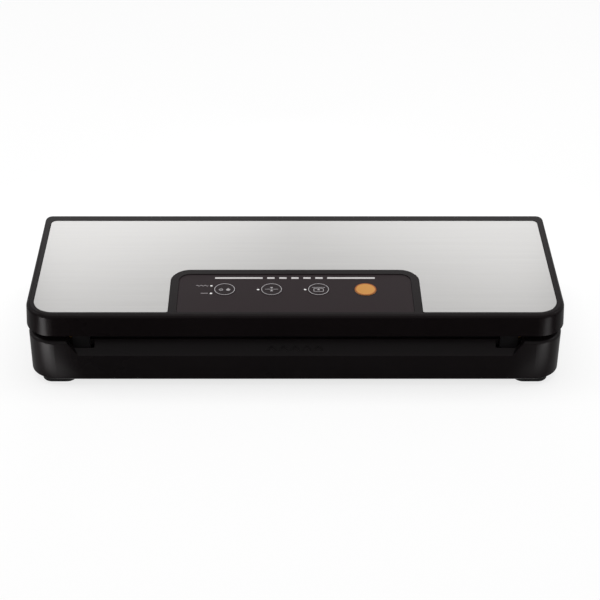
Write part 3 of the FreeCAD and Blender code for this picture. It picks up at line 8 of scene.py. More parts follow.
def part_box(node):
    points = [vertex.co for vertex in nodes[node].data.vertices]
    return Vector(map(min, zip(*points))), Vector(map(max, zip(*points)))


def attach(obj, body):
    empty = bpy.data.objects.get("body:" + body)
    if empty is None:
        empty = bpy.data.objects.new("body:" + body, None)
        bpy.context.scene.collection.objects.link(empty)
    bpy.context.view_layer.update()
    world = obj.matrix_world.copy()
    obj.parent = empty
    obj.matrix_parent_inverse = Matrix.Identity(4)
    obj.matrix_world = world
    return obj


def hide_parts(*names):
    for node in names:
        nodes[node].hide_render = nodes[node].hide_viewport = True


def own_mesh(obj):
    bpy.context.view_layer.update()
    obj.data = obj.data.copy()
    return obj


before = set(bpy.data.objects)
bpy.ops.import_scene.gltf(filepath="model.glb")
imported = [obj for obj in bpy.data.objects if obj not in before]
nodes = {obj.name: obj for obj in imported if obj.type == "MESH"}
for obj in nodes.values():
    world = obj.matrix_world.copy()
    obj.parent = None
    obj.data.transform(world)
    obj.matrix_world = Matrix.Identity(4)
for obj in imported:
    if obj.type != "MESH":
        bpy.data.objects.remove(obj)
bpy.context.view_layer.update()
mm = 0.001
bpy.context.scene.view_settings.view_transform = "Standard"
print("frame loaded,", len(nodes), "nodes")


# Camera: at the photograph's viewing angle.
cameraSetup = {
    "place": (-9.0 * mm, -975.6 * mm, 677.3 * mm),
    "pitchDown": 33.7,
    "sensor": 36,
    "lens": 97.8,
    "shiftX": 0.0299,
}
cameraData = bpy.data.cameras.new("photoCamera")
cameraData.sensor_width = cameraSetup["sensor"]
cameraData.lens = cameraSetup["lens"]
cameraData.shift_x = cameraSetup["shiftX"]
photoCamera = bpy.data.objects.new("photoCamera", cameraData)
bpy.context.scene.collection.objects.link(photoCamera)
photoCamera.location = cameraSetup["place"]
photoCamera.rotation_euler = (math.radians(90 - cameraSetup["pitchDown"]), 0, 0)
bpy.context.scene.camera = photoCamera
print("camera placed")


def linear(hexColour):
    values = [int(hexColour[start:start + 2], 16) / 255 for start in (1, 3, 5)]
    curve = [v / 12.92 if v <= 0.04045 else ((v + 0.055) / 1.055) ** 2.4 for v in values]
    return (*curve, 1.0)


def scaleFor(sizeMm):
    return 1000 / sizeMm  # pattern repeats per metre


waveTurn = 20  # radians that a wave pattern turns in one unit


def addNode(tree, kind, values=(), links=(), **settings):
    node = tree.nodes.new("ShaderNode" + kind)
    for name, value in settings.items():
        setattr(node, name, value)
    for socket, value in dict(values).items():
        node.inputs[socket].default_value = value
    for socket, (source, output) in dict(links).items():
        tree.links.new(source.outputs[output], node.inputs[socket])
    return node


def startMaterial(name, uniform):
    material = bpy.data.materials.new(name)
    material.use_nodes = True
    tree = material.node_tree
    shader = next(n for n in tree.nodes if n.type == "BSDF_PRINCIPLED")
    for socket, value in uniform.items():
        shader.inputs[socket].default_value = value
    return material, tree, shader


def feed(tree, shader, links):
    for socket, (source, output) in links.items():
        tree.links.new(source.outputs[output], shader.inputs[socket])


# ABS from a spark-eroded mould: satin, with a fine even grain and soft cloudy changes of gloss.
# The real grain is near 0.1 mm, too fine to show, so it is drawn at half a millimetre or more.
def mouldedAbs(name, dark, light, roughness, specular, grainMm=0.5, grainDepth=0.02):
    material, tree, shader = startMaterial(name, {"IOR": 1.53, "Specular IOR Level": specular})
    place = addNode(tree, "TexCoord")
    cloud = addNode(tree, "TexNoise", {"Scale": scaleFor(45), "Detail": 3}, {"Vector": (place, "Object")})
    grain = addNode(
        tree, "TexNoise", {"Scale": scaleFor(grainMm), "Detail": 2}, {"Vector": (place, "Object")}
    )
    tint = addNode(
        tree, "Mix", {6: linear(dark), 7: linear(light)}, {0: (cloud, 0)}, data_type="RGBA"
    )
    gloss = addNode(
        tree,
        "MapRange",
        {"From Min": 0.3, "From Max": 0.7, "To Min": roughness - 0.04, "To Max": roughness + 0.05},
        {"Value": (cloud, 0)},
    )
    bump = addNode(
        tree, "Bump", {"Strength": 0.5, "Distance": grainDepth * mm}, {"Height": (grain, 0)}
    )
    feed(tree, shader, {"Base Color": (tint, 2), "Roughness": (gloss, 0), "Normal": (bump, 0)})
    return material


# Stainless sheet, belt brushed along its length: long fine streaks of light and dark.
# The real lines are under 0.1 mm apart, so they are drawn at a quarter of a millimetre.
def brushedStainless(name):
    material, tree, shader = startMaterial(name, {"Metallic": 1.0})
    place = addNode(tree, "TexCoord")
    along = addNode(
        tree,
        "Mapping",
        {"Scale": (scaleFor(70), scaleFor(0.25), scaleFor(0.25))},
        {"Vector": (place, "Object")},
    )
    streak = addNode(tree, "TexNoise", {"Scale": 1, "Detail": 4, "Roughness": 0.6}, {"Vector": (along, 0)})
    broad = addNode(
        tree,
        "Mapping",
        {"Scale": (scaleFor(260), scaleFor(2.2), scaleFor(2.2))},
        {"Vector": (place, "Object")},
    )
    band = addNode(tree, "TexNoise", {"Scale": 1, "Detail": 2}, {"Vector": (broad, 0)})
    both = addNode(tree, "Mix", {0: 0.22}, {2: (streak, 0), 3: (band, 0)})
    tint = addNode(
        tree,
        "Mix",
        {6: linear("#929190"), 7: linear("#B1B0AF")},
        {0: (both, 0)},
        data_type="RGBA",
    )
    gloss = addNode(
        tree,
        "MapRange",
        {"From Min": 0.3, "From Max": 0.7, "To Min": 0.30, "To Max": 0.44},
        {"Value": (both, 0)},
    )
    bump = addNode(tree, "Bump", {"Strength": 0.35, "Distance": 0.01 * mm}, {"Height": (streak, 0)})
    feed(tree, shader, {"Base Color": (tint, 2), "Roughness": (gloss, 0), "Normal": (bump, 0)})
    return material


# Polycarbonate overlay film, printed from behind and finely matted: brownish black and even.
# The orange key cap is matted in the same way.
def mattedFilm(name, dark, light, roughness, specular):
    material, tree, shader = startMaterial(name, {"IOR": 1.58, "Specular IOR Level": specular})
    place = addNode(tree, "TexCoord")
    mat = addNode(tree, "TexNoise", {"Scale": scaleFor(0.35), "Detail": 3}, {"Vector": (place, "Object")})
    haze = addNode(tree, "TexNoise", {"Scale": scaleFor(30), "Detail": 2}, {"Vector": (place, "Object")})
    tint = addNode(
        tree, "Mix", {6: linear(dark), 7: linear(light)}, {0: (haze, 0)}, data_type="RGBA"
    )
    gloss = addNode(
        tree,
        "MapRange",
        {"To Min": roughness - 0.05, "To Max": roughness + 0.05},
        {"Value": (haze, 0)},
    )
    bump = addNode(tree, "Bump", {"Strength": 0.4, "Distance": 0.012 * mm}, {"Height": (mat, 0)})
    feed(tree, shader, {"Base Color": (tint, 2), "Roughness": (gloss, 0), "Normal": (bump, 0)})
    return material


# Screen print ink: flat and opaque, with a faint mesh unevenness.
def printInk(name, dark, light):
    material, tree, shader = startMaterial(name, {"IOR": 1.5, "Specular IOR Level": 0.3})
    place = addNode(tree, "TexCoord")
    mesh = addNode(tree, "TexNoise", {"Scale": scaleFor(0.6), "Detail": 2}, {"Vector": (place, "Object")})
    tint = addNode(
        tree, "Mix", {6: linear(dark), 7: linear(light)}, {0: (mesh, 0)}, data_type="RGBA"
    )
    gloss = addNode(tree, "MapRange", {"To Min": 0.5, "To Max": 0.65}, {"Value": (mesh, 0)})
    feed(tree, shader, {"Base Color": (tint, 2), "Roughness": (gloss, 0)})
    return material


# Frosted polycarbonate light pipe: pale, a little cloudy inside.
def frostedPipe(name, dark, light):
    material, tree, shader = startMaterial(name, {"IOR": 1.58, "Specular IOR Level": 0.4})
    place = addNode(tree, "TexCoord")
    cloud = addNode(tree, "TexNoise", {"Scale": scaleFor(2.5), "Detail": 2}, {"Vector": (place, "Object")})
    tint = addNode(
        tree, "Mix", {6: linear(dark), 7: linear(light)}, {0: (cloud, 0)}, data_type="RGBA"
    )
    gloss = addNode(tree, "MapRange", {"To Min": 0.3, "To Max": 0.42}, {"Value": (cloud, 0)})
    feed(tree, shader, {"Base Color": (tint, 2), "Roughness": (gloss, 0)})
    return material


# Closed-cell silicone foam: dull skin with small open pores.
def poreFoam(name, dark, light, poreMm):
    material, tree, shader = startMaterial(name, {"IOR": 1.42, "Specular IOR Level": 0.25})
    place = addNode(tree, "TexCoord")
    pore = addNode(tree, "TexVoronoi", {"Scale": scaleFor(poreMm)}, {"Vector": (place, "Object")})
    dust = addNode(tree, "TexNoise", {"Scale": scaleFor(9), "Detail": 4}, {"Vector": (place, "Object")})
    skin = addNode(
        tree, "MapRange", {"From Min": 0.1, "From Max": 0.5}, {"Value": (pore, "Distance")}
    )
    tint = addNode(
        tree, "Mix", {6: linear(dark), 7: linear(light)}, {0: (skin, 0)}, data_type="RGBA"
    )
    gloss = addNode(tree, "MapRange", {"To Min": 0.7, "To Max": 0.9}, {"Value": (dust, 0)})
    bump = addNode(tree, "Bump", {"Strength": 0.6, "Distance": 0.06 * mm}, {"Height": (skin, 0)})
    feed(tree, shader, {"Base Color": (tint, 2), "Roughness": (gloss, 0), "Normal": (bump, 0)})
    return material


# Solid silicone or rubber: dull and soft-edged, with dust in its fine grain.
# A seal strip has a low ripple along X instead, about 6 times the given size from crest to crest.
def mouldedRubber(name, dark, light, roughness, rippleMm=0):
    material, tree, shader = startMaterial(name, {"IOR": 1.42, "Specular IOR Level": 0.3})
    place = addNode(tree, "TexCoord")
    dust = addNode(tree, "TexNoise", {"Scale": scaleFor(6), "Detail": 5}, {"Vector": (place, "Object")})
    tint = addNode(
        tree, "Mix", {6: linear(dark), 7: linear(light)}, {0: (dust, 0)}, data_type="RGBA"
    )
    gloss = addNode(
        tree,
        "MapRange",
        {"To Min": roughness - 0.1, "To Max": roughness + 0.1},
        {"Value": (dust, 0)},
    )
    if rippleMm:
        height = addNode(
            tree,
            "TexWave",
            {"Scale": scaleFor(rippleMm) / waveTurn, "Distortion": 0.2},
            {"Vector": (place, "Object")},
            bands_direction="Y",
        )
    else:
        height = addNode(
            tree, "TexNoise", {"Scale": scaleFor(0.4), "Detail": 2}, {"Vector": (place, "Object")}
        )
    bump = addNode(tree, "Bump", {"Strength": 0.4, "Distance": 0.05 * mm}, {"Height": (height, 0)})
    feed(tree, shader, {"Base Color": (tint, 2), "Roughness": (gloss, 0), "Normal": (bump, 0)})
    return material


# Bare or plated metal: base colour with drawn lines or a fine matte, and cloudy gloss.
def plainMetal(name, dark, light, roughness, lineMm=(0.5, 0.5, 0.5)):
    material, tree, shader = startMaterial(name, {"Metallic": 1.0})
    place = addNode(tree, "TexCoord")
    drawn = addNode(
        tree,
        "Mapping",
        {"Scale": tuple(scaleFor(size) for size in lineMm)},
        {"Vector": (place, "Object")},
    )
    line = addNode(tree, "TexNoise", {"Scale": 1, "Detail": 3}, {"Vector": (drawn, 0)})
    tint = addNode(
        tree, "Mix", {6: linear(dark), 7: linear(light)}, {0: (line, 0)}, data_type="RGBA"
    )
    gloss = addNode(
        tree,
        "MapRange",
        {"To Min": roughness - 0.08, "To Max": roughness + 0.1},
        {"Value": (line, 0)},
    )
    bump = addNode(tree, "Bump", {"Strength": 0.3, "Distance": 0.01 * mm}, {"Height": (line, 0)})
    feed(tree, shader, {"Base Color": (tint, 2), "Roughness": (gloss, 0), "Normal": (bump, 0)})
    return material


# Woven glass cloth with a baked fluoropolymer coat: tan and slick, in a plain weave.
# The real threads are 0.5 mm apart, too fine to show, so they are drawn about 3 mm apart.
def coatedGlassCloth(name):
    material, tree, shader = startMaterial(name, {"IOR": 1.38, "Specular IOR Level": 0.5})
    place = addNode(tree, "TexCoord")
    waves = [
        addNode(
            tree,
            "TexWave",
            {"Scale": scaleFor(0.5) / waveTurn},
            {"Vector": (place, "Object")},
            bands_direction=direction,
        )
        for direction in "XY"
    ]
    weave = addNode(tree, "Math", links={0: (waves[0], 1), 1: (waves[1], 1)}, operation="MULTIPLY")
    stain = addNode(tree, "TexNoise", {"Scale": scaleFor(14), "Detail": 3}, {"Vector": (place, "Object")})
    mixed = addNode(tree, "Mix", {0: 0.5}, {2: (weave, 0), 3: (stain, 0)})
    tint = addNode(
        tree,
        "Mix",
        {6: linear("#7B5A36"), 7: linear("#B48E5E")},
        {0: (mixed, 0)},
        data_type="RGBA",
    )
    gloss = addNode(tree, "MapRange", {"To Min": 0.28, "To Max": 0.5}, {"Value": (stain, 0)})
    bump = addNode(tree, "Bump", {"Strength": 0.4, "Distance": 0.03 * mm}, {"Height": (weave, 0)})
    feed(tree, shader, {"Base Color": (tint, 2), "Roughness": (gloss, 0), "Normal": (bump, 0)})
    return material


# Glass-epoxy board under green solder mask, with the tracks showing as paler lines.
def solderMask(name):
    material, tree, shader = startMaterial(name, {"IOR": 1.55, "Specular IOR Level": 0.5})
    place = addNode(tree, "TexCoord")
    track = addNode(
        tree,
        "TexBrick",
        {
            "Scale": scaleFor(9),
            "Mortar Size": 0.03,
            "Color1": linear("#0E5A33"),
            "Color2": linear("#0C4F2D"),
            "Mortar": linear("#1F7A48"),
        },
        {"Vector": (place, "Object")},
    )
    haze = addNode(tree, "TexNoise", {"Scale": scaleFor(20)}, {"Vector": (place, "Object")})
    gloss = addNode(tree, "MapRange", {"To Min": 0.3, "To Max": 0.45}, {"Value": (haze, 0)})
    feed(tree, shader, {"Base Color": (track, 0), "Roughness": (gloss, 0)})
    return material


# Finishes: darker and paler colour, roughness, gloss level, then the size of the grain or lines.
looks = {
    "lidAbs": mouldedAbs("satinAbsLid", "#130F10", "#181314", 0.3, 0.045),
    "baseAbs": mouldedAbs("satinAbsBase", "#181516", "#1E1A1B", 0.3, 0.068),
    "innerAbs": mouldedAbs("grainedAbsInner", "#272627", "#302F30", 0.5, 0.35, 0.7, 0.04),
    "acetal": mouldedAbs("blackAcetal", "#121112", "#191718", 0.34, 0.12),
    "nylon": mouldedAbs("glassFilledNylon", "#3A3B3D", "#4A4B4D", 0.55, 0.4, 0.6, 0.04),
    "stainless": brushedStainless("brushedStainless"),
    "film": mattedFilm("mattedFilm", "#251E20", "#2A2224", 0.52, 0.04),
    "capFilm": mattedFilm("mattedKeyFilm", "#221C1E", "#272022", 0.5, 0.04),
    "orangeAbs": mattedFilm("orangeAbs", "#C0812E", "#CA9046", 0.5, 0.2),
    "greyInk": printInk("greyPrintInk", "#9B9799", "#ABA7A9"),
    "dimInk": printInk("dimPrintInk", "#7E787A", "#8B8587"),
    # A deep orange ring round the edge of the orange key: painted shade of the gap round the key, drawn
    # with the ink shader.
    "orangeEdgeShade": printInk("edgeShadeOrangeRing", "#8F4A14", "#9E561B"),
    "lightPipe": frostedPipe("frostedLightPipe", "#BDB9B9", "#CECBCB"),
    "lens": frostedPipe("frostedLens", "#EDEBEA", "#F7F6F5"),
    "board": solderMask("greenSolderMask"),
    "switchAbs": mouldedAbs("switchAbs", "#1D1D1F", "#29292B", 0.45, 0.4),
    "foam": poreFoam("siliconeFoam", "#232325", "#3A3A3D", 0.9),
    "strip": mouldedRubber("siliconeStrip", "#2A2A2C", "#343436", 0.6, 1.0),
    "zinc": plainMetal("zincPlatedSteel", "#9FA3A8", "#C6CACD", 0.32),
    "pinSteel": plainMetal("groundSteel", "#A8A9AB", "#C9CACB", 0.25, (0.3, 4, 4)),
    "aluminium": plainMetal("anodisedAluminium", "#1F2022", "#2B2C2F", 0.42, (40, 0.4, 0.4)),
    "motorCan": plainMetal("nickelledSteel", "#A9A7A2", "#C6C4BE", 0.3, (6, 1, 1)),
    "nichrome": plainMetal("nichromeRibbon", "#6E665F", "#8F867C", 0.4, (20, 0.3, 0.3)),
    # The terminal brass is drawn about half as bright as clean brass: painted shade, so the terminals stay
    # dim where they sit in shade.
    "brass": plainMetal("darkenedBrass", "#6B5223", "#8A6C34", 0.4),
    "cloth": coatedGlassCloth("coatedGlassCloth"),
    "footRubber": mouldedRubber("footRubber", "#161617", "#202021", 0.75),
    "tube": mouldedRubber("siliconeTube", "#C9CBC8", "#DADCD8", 0.4),
    "copper": plainMetal("lacqueredCopper", "#8A4A24", "#B8703C", 0.35, (0.4, 12, 0.4)),
    "relayBox": mouldedAbs("relayBox", "#27486B", "#2E5580", 0.4, 0.5),
    "sleeve": mouldedAbs("shrinkSleeve", "#1B2430", "#232E3B", 0.3, 0.5),
}
nodeLooks = {
    "lidAbs": ["lid_shell"],
    "baseAbs": ["base_shell", "bottom_cover"],
    "innerAbs": ["lid_inner_cover", "vacuum_trough"],
    "acetal": ["hook_left", "hook_right", "release_button_left", "release_button_right", "inlet_socket"],
    "nylon": ["pump_crankcase", "cylinder_head", "pump_piston", "valve_body", "valve_coil"],
    "stainless": ["top_plate"],
    "film": ["control_panel"],
    "capFilm": ["mode_key", "seal_key", "vacuum_seal_key"],
    "orangeAbs": ["start_key"],
    "lightPipe": ["light_guide"],
    "lens": ["indicator_lenses"],
    "board": ["control_board", "power_board"],
    "switchAbs": ["tact_switches", "lid_switch"],
    "foam": ["upper_gasket", "lower_gasket"],
    "strip": ["pressure_strip"],
    "zinc": ["lid_screws", "bottom_screws", "motor_bracket", "valve_frame"],
    "pinSteel": [
        "hinge_pin_left",
        "hinge_pin_right",
        "pump_crankshaft",
        "valve_plunger",
        "return_spring_left",
        "return_spring_right",
    ],
    "aluminium": ["heater_rail"],
    "motorCan": ["pump_motor", "inlet_pins"],
    "nichrome": ["heating_element"],
    "brass": ["heater_terminals"],
    "cloth": ["release_tape"],
    "footRubber": ["foot_front_left", "foot_front_right", "foot_back_left", "foot_back_right"],
    "tube": ["vacuum_tube", "valve_tube"],
    "copper": ["transformer"],
    "relayBox": ["relay"],
    "sleeve": ["capacitor"],
}
for look, names in nodeLooks.items():
    for name in names:
        nodes[name].data.materials.clear()
        nodes[name].data.materials.append(looks[look])
plain = sorted(set(nodes) - {name for names in nodeLooks.values() for name in names})
print("materials given, nodes left without:", plain)


# Modelling helpers: a primitive just added becomes a piece, and its parts are picked by place.
def clearSelection():
    if bpy.context.object and bpy.context.object.mode != "OBJECT":
        bpy.ops.object.mode_set(mode="OBJECT")
    bpy.ops.object.select_all(action="DESELECT")


def startPiece(name, size=(1, 1, 1)):
    piece = bpy.context.object
    piece.name = name
    piece.data.name = name
    piece.scale = size
    bpy.ops.object.transform_apply(location=True, rotation=True, scale=True)
    bpy.ops.object.mode_set(mode="EDIT")
    return piece


def middle(item):
    corners = [item] if isinstance(item, bmesh.types.BMVert) else item.verts
    return sum((corner.co for corner in corners), Vector()) / len(corners)


def pick(piece, kind, wanted):
    bpy.ops.mesh.select_mode(type={"verts": "VERT", "edges": "EDGE", "faces": "FACE"}[kind])
    bpy.ops.mesh.select_all(action="DESELECT")
    mesh = bmesh.from_edit_mesh(piece.data)
    for item in getattr(mesh, kind):
        if wanted(item):
            item.select_set(True)
    mesh.select_flush_mode()
    bmesh.update_edit_mesh(piece.data)


def extrudeBy(x, y, z):
    bpy.ops.mesh.extrude_region_move(TRANSFORM_OT_translate={"value": (x, y, z)})


def near(value, target, slack=0.01 * mm):
    return abs(value - target) < slack


def rimAt(level):
    # edges of a flat face at that height, without the ones that cross the face
    return lambda edge: all(near(v.co.z, level) for v in edge.verts) and any(
        abs(face.normal.z) < 0.5 for face in edge.link_faces
    )


def finishPiece(piece, look, body, slotName, *replaced, smoothAngle=35):
    bpy.ops.mesh.select_all(action="SELECT")
    bpy.ops.mesh.normals_make_consistent(inside=False)
    bpy.ops.object.mode_set(mode="OBJECT")
    bpy.ops.object.shade_smooth_by_angle(angle=math.radians(smoothAngle))
    piece.data.materials.clear()
    piece.data.materials.append(looks[look])
    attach(piece, body)
    if replaced:
        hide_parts(*replaced)


# Foam gaskets: a round-cornered loop cut from sheet, square at the groove and rounded where it seals.
gasketShape = {
    "width": 5 * mm,
    "corner": 14 * mm,
    "cornerSteps": 10,
    "rounding": 1.7 * mm,
    "roundingSteps": 5,
    "fill": 1.0,
}
gasketRings = {
    "upperGasketRing": {"node": "upper_gasket", "body": "lid", "sealSide": -1},
    "lowerGasketRing": {"node": "lower_gasket", "body": "base", "sealSide": 1},
}


def gasketRing(name, node, body, sealSide):
    low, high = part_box(node)
    size = high - low
    seat = low.z if sealSide > 0 else high.z
    face = seat + sealSide * size.z
    clearSelection()
    bpy.ops.mesh.primitive_plane_add(size=1, location=(*((low + high) / 2).xy, seat))
    ring = startPiece(name, (size.x, size.y, 1))
    bpy.ops.mesh.bevel(
        offset=gasketShape["corner"], segments=gasketShape["cornerSteps"], affect="VERTICES"
    )
    bpy.ops.mesh.inset(thickness=gasketShape["width"])
    bpy.ops.mesh.delete(type="FACE")
    bpy.ops.mesh.select_all(action="SELECT")
    extrudeBy(0, 0, face - seat)
    bpy.ops.mesh.select_all(action="SELECT")
    bpy.ops.mesh.normals_make_consistent(inside=False)
    pick(ring, "edges", rimAt(face))
    bpy.ops.mesh.bevel(
        offset=gasketShape["rounding"], segments=gasketShape["roundingSteps"], affect="EDGES"
    )
    finishPiece(ring, "foam", body, "silicone", node)


for name, ring in gasketRings.items():
    gasketRing(name, **ring)
print("gaskets made")


# Pressure strip: solid silicone, crowned underneath where it squeezes the bag on the heater.
stripShape = {
    "crown": 2.7 * mm,
    "crownSteps": 6,
    "endHeight": 3.7 * mm,  # up to here the ends are rounded
    "endRounding": 0.4 * mm,
    "endSteps": 2,
}
low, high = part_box("pressure_strip")
clearSelection()
bpy.ops.mesh.primitive_cube_add(size=1, location=(low + high) / 2)
strip = startPiece("pressureStripCrowned", high - low)
stripLow = low.z
pick(strip, "edges", lambda edge: near(middle(edge).x, 0) and near(middle(edge).z, stripLow))
bpy.ops.mesh.bevel(offset=stripShape["crown"], segments=stripShape["crownSteps"], affect="EDGES")
stripEnd = high.x
pick(
    strip,
    "edges",
    lambda edge: all(near(abs(v.co.x), stripEnd) for v in edge.verts)
    and middle(edge).z < stripLow + stripShape["endHeight"],
)
bpy.ops.mesh.bevel(offset=stripShape["endRounding"], segments=stripShape["endSteps"], affect="EDGES")
finishPiece(strip, "strip", "lid", "silicone", "pressure_strip")
print("pressure strip made")


# Release tape: one cut of coated glass cloth, laid over the heater ribbon and folded down the rail.
tapeShape = {
    "cut": (299 * mm, 11 * mm),
    "overRibbon": 1.5 * mm,
    "folds": (  # across and up, from the ribbon's edge to the foot of the rail
        (0.7 * mm, -0.3 * mm),
        (1.2 * mm, 0),
        (0.24 * mm, -0.14 * mm),
        (0.03 * mm, -1.75 * mm),
    ),
    "thickness": 0.13 * mm,
    "lift": 0.0715 * mm,  # of its middle off the ribbon
}
low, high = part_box("release_tape")
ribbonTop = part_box("heating_element")[1].z
tapeMiddle = (low.y + high.y) / 2
clearSelection()
bpy.ops.mesh.primitive_plane_add(size=1, location=(0, tapeMiddle, ribbonTop + tapeShape["lift"]))
tape = startPiece("releaseTapeSheet", (high.x - low.x, tapeShape["overRibbon"] * 2, 1))
for side in (-1, 1):
    tapeEdge = tapeMiddle + side * tapeShape["overRibbon"]
    pick(tape, "edges", lambda edge: all(near(v.co.y, tapeEdge) for v in edge.verts))
    for across, up in tapeShape["folds"]:
        extrudeBy(0, side * across, up)
bpy.ops.mesh.select_all(action="SELECT")
bpy.ops.mesh.normals_make_consistent(inside=False)
bpy.ops.object.mode_set(mode="OBJECT")
bpy.ops.object.modifier_add(type="SOLIDIFY")
tape.modifiers[0].thickness = tapeShape["thickness"]
tape.modifiers[0].offset = 0
bpy.ops.object.modifier_apply(modifier=tape.modifiers[0].name)
bpy.ops.object.mode_set(mode="EDIT")
finishPiece(tape, "cloth", "base", "glass_cloth", "release_tape")
print("release tape laid")


# Feet: rubber pads with a rounded tread and a grip groove, modelled once and copied.
footShape = {
    "corner": 7 * mm,
    "cornerSteps": 8,
    "tread": 1.1 * mm,
    "treadSteps": 4,
    "border": 1.6 * mm,
    "groove": 1.5 * mm,
    "deep": 0.7 * mm,
}
footNodes = ["foot_front_left", "foot_front_right", "foot_back_left", "foot_back_right"]


def pieceName(node):
    first, *rest = node.split("_")
    return first + "".join(word.capitalize() for word in rest)


low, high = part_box(footNodes[0])
clearSelection()
bpy.ops.mesh.primitive_cube_add(size=1, location=(low + high) / 2)
firstFoot = startPiece(pieceName(footNodes[0]) + "Pad", high - low)
pick(firstFoot, "edges", lambda edge: abs(edge.verts[0].co.z - edge.verts[1].co.z) > mm)
bpy.ops.mesh.bevel(offset=footShape["corner"], segments=footShape["cornerSteps"], affect="EDGES")
footFloor = low.z
pick(firstFoot, "edges", rimAt(footFloor))
bpy.ops.mesh.bevel(offset=footShape["tread"], segments=footShape["treadSteps"], affect="EDGES")
pick(firstFoot, "faces", lambda face: near(middle(face).z, footFloor) and face.normal.z < -0.9)
bpy.ops.mesh.inset(thickness=footShape["border"])
extrudeBy(0, 0, footShape["deep"])
bpy.ops.mesh.inset(thickness=footShape["groove"])
extrudeBy(0, 0, -footShape["deep"])
footStart = (low + high) / 2
bpy.ops.object.mode_set(mode="OBJECT")
feet = {footNodes[0]: firstFoot}
for node in footNodes[1:]:
    low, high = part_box(node)
    copied = bpy.data.objects.new(pieceName(node) + "Pad", firstFoot.data.copy())
    bpy.context.scene.collection.objects.link(copied)
    copied.data.transform(Matrix.Translation((low + high) / 2 - footStart))
    feet[node] = copied
for node, foot in feet.items():
    clearSelection()
    foot.select_set(True)
    bpy.context.view_layer.objects.active = foot
    bpy.ops.object.mode_set(mode="EDIT")
    finishPiece(foot, "footRubber", "base", "foot_rubber", node)
print("feet made")


# Return springs: the wound wire of the frame, copied and welded into one piece. The real springs close up
# as their buttons are pressed; these keep the frame's shape.
springShape = {"length": 13 * mm, "travel": 3 * mm, "weld": 0.001 * mm, "smooth": 60}
for side, fixedEnd in (("left", 1), ("right", 0)):
    node = "return_spring_" + side
    spring = bpy.data.objects.new(pieceName(node) + "Wire", nodes[node].data.copy())
    bpy.context.scene.collection.objects.link(spring)
    clearSelection()
    spring.select_set(True)
    bpy.context.view_layer.objects.active = spring
    bpy.ops.object.mode_set(mode="EDIT")
    bpy.ops.mesh.select_all(action="SELECT")
    bpy.ops.mesh.remove_doubles(threshold=springShape["weld"])
    finishPiece(spring, "pinSteel", "base", "zinc_steel", node, smoothAngle=springShape["smooth"])
    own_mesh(spring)
print("springs made")


# Printing: a ring and a plain sign on each dark key, in pale ink raised by the screen.
# The signs are generic: drops, pressing arrows and a bag.
inkShape = {
    "height": 0.04 * mm,
    "line": 0.45 * mm,
    "ring": 7.15 * mm,
    "ringLine": 0.5 * mm,
    "ringCorners": 72,
    # the deep orange ring round the orange key is painted shade at its edge
    "startShadeRing": 7.4 * mm,
    "startShadeRingLine": 0.85 * mm,
    "barEnd": 0.45,  # rounding, as a share of the bar's width
    "barSteps": 3,
    "frameCorner": 1.6,  # of the frame's line
    "frameSteps": 4,
    "arrowTip": 0.12,  # of the arrow's radius
    "arrowSteps": 2,
}
dropShape = {  # levels as shares of the drop's radius
    "corners": 28,
    "taper": ((0.3, 0.7), (0.8, 0.5)),  # from this level up, to this share of the width
    "tip": 0.99,
    "tipLift": 0.8,
}
signShape = {
    "dropAside": 2.5 * mm,
    "dropDown": 0.5 * mm,
    "dropRadius": 1.5 * mm,
    "barLength": 9 * mm,
    "arrowAway": 1.9 * mm,
    "arrowRadius": 1.3 * mm,
    "bag": (7 * mm, 4.2 * mm),
    "bagDown": 1 * mm,
    "bagBarUp": 2.2 * mm,
    "bagArrowDown": 0.6 * mm,
}


def flatRing(x, y, z, radius, line):
    clearSelection()
    bpy.ops.mesh.primitive_circle_add(
        vertices=inkShape["ringCorners"], radius=radius, fill_type="NGON", location=(x, y, z)
    )
    ring = startPiece("ring")
    bpy.ops.mesh.inset(thickness=line)
    bpy.ops.mesh.delete(type="FACE")
    return ring


def flatBar(x, y, z, length, width):
    clearSelection()
    bpy.ops.mesh.primitive_plane_add(size=1, location=(x, y, z))
    bar = startPiece("bar", (length, width, 1))
    bpy.ops.mesh.bevel(
        offset=width * inkShape["barEnd"], segments=inkShape["barSteps"], affect="VERTICES"
    )
    return bar


def flatFrame(x, y, z, length, width, line):
    clearSelection()
    bpy.ops.mesh.primitive_plane_add(size=1, location=(x, y, z))
    edge = startPiece("frame", (length, width, 1))
    bpy.ops.mesh.bevel(
        offset=line * inkShape["frameCorner"], segments=inkShape["frameSteps"], affect="VERTICES"
    )
    bpy.ops.mesh.inset(thickness=line)
    bpy.ops.mesh.delete(type="FACE")
    return edge


def flatArrow(x, y, z, radius, turn):
    clearSelection()
    bpy.ops.mesh.primitive_circle_add(
        vertices=3, radius=radius, fill_type="NGON", location=(x, y, z), rotation=(0, 0, turn)
    )
    arrow = startPiece("arrow")
    bpy.ops.mesh.bevel(
        offset=radius * inkShape["arrowTip"], segments=inkShape["arrowSteps"], affect="VERTICES"
    )
    return arrow


def flatDrop(x, y, z, radius, line=0):
    clearSelection()
    bpy.ops.mesh.primitive_circle_add(
        vertices=dropShape["corners"], radius=radius, fill_type="NGON", location=(x, y, z)
    )
    drop = startPiece("drop")
    for level, width in dropShape["taper"]:
        pick(drop, "verts", lambda v: v.co.y > y + radius * level)
        bpy.ops.transform.resize(value=(width, 1, 1), center_override=(x, y, z))
    pick(drop, "verts", lambda v: v.co.y > y + radius * dropShape["tip"])
    bpy.ops.transform.translate(value=(0, radius * dropShape["tipLift"], 0))
    if line:
        bpy.ops.mesh.select_all(action="SELECT")
        bpy.ops.mesh.inset(thickness=line)
        bpy.ops.mesh.delete(type="FACE")
    return drop


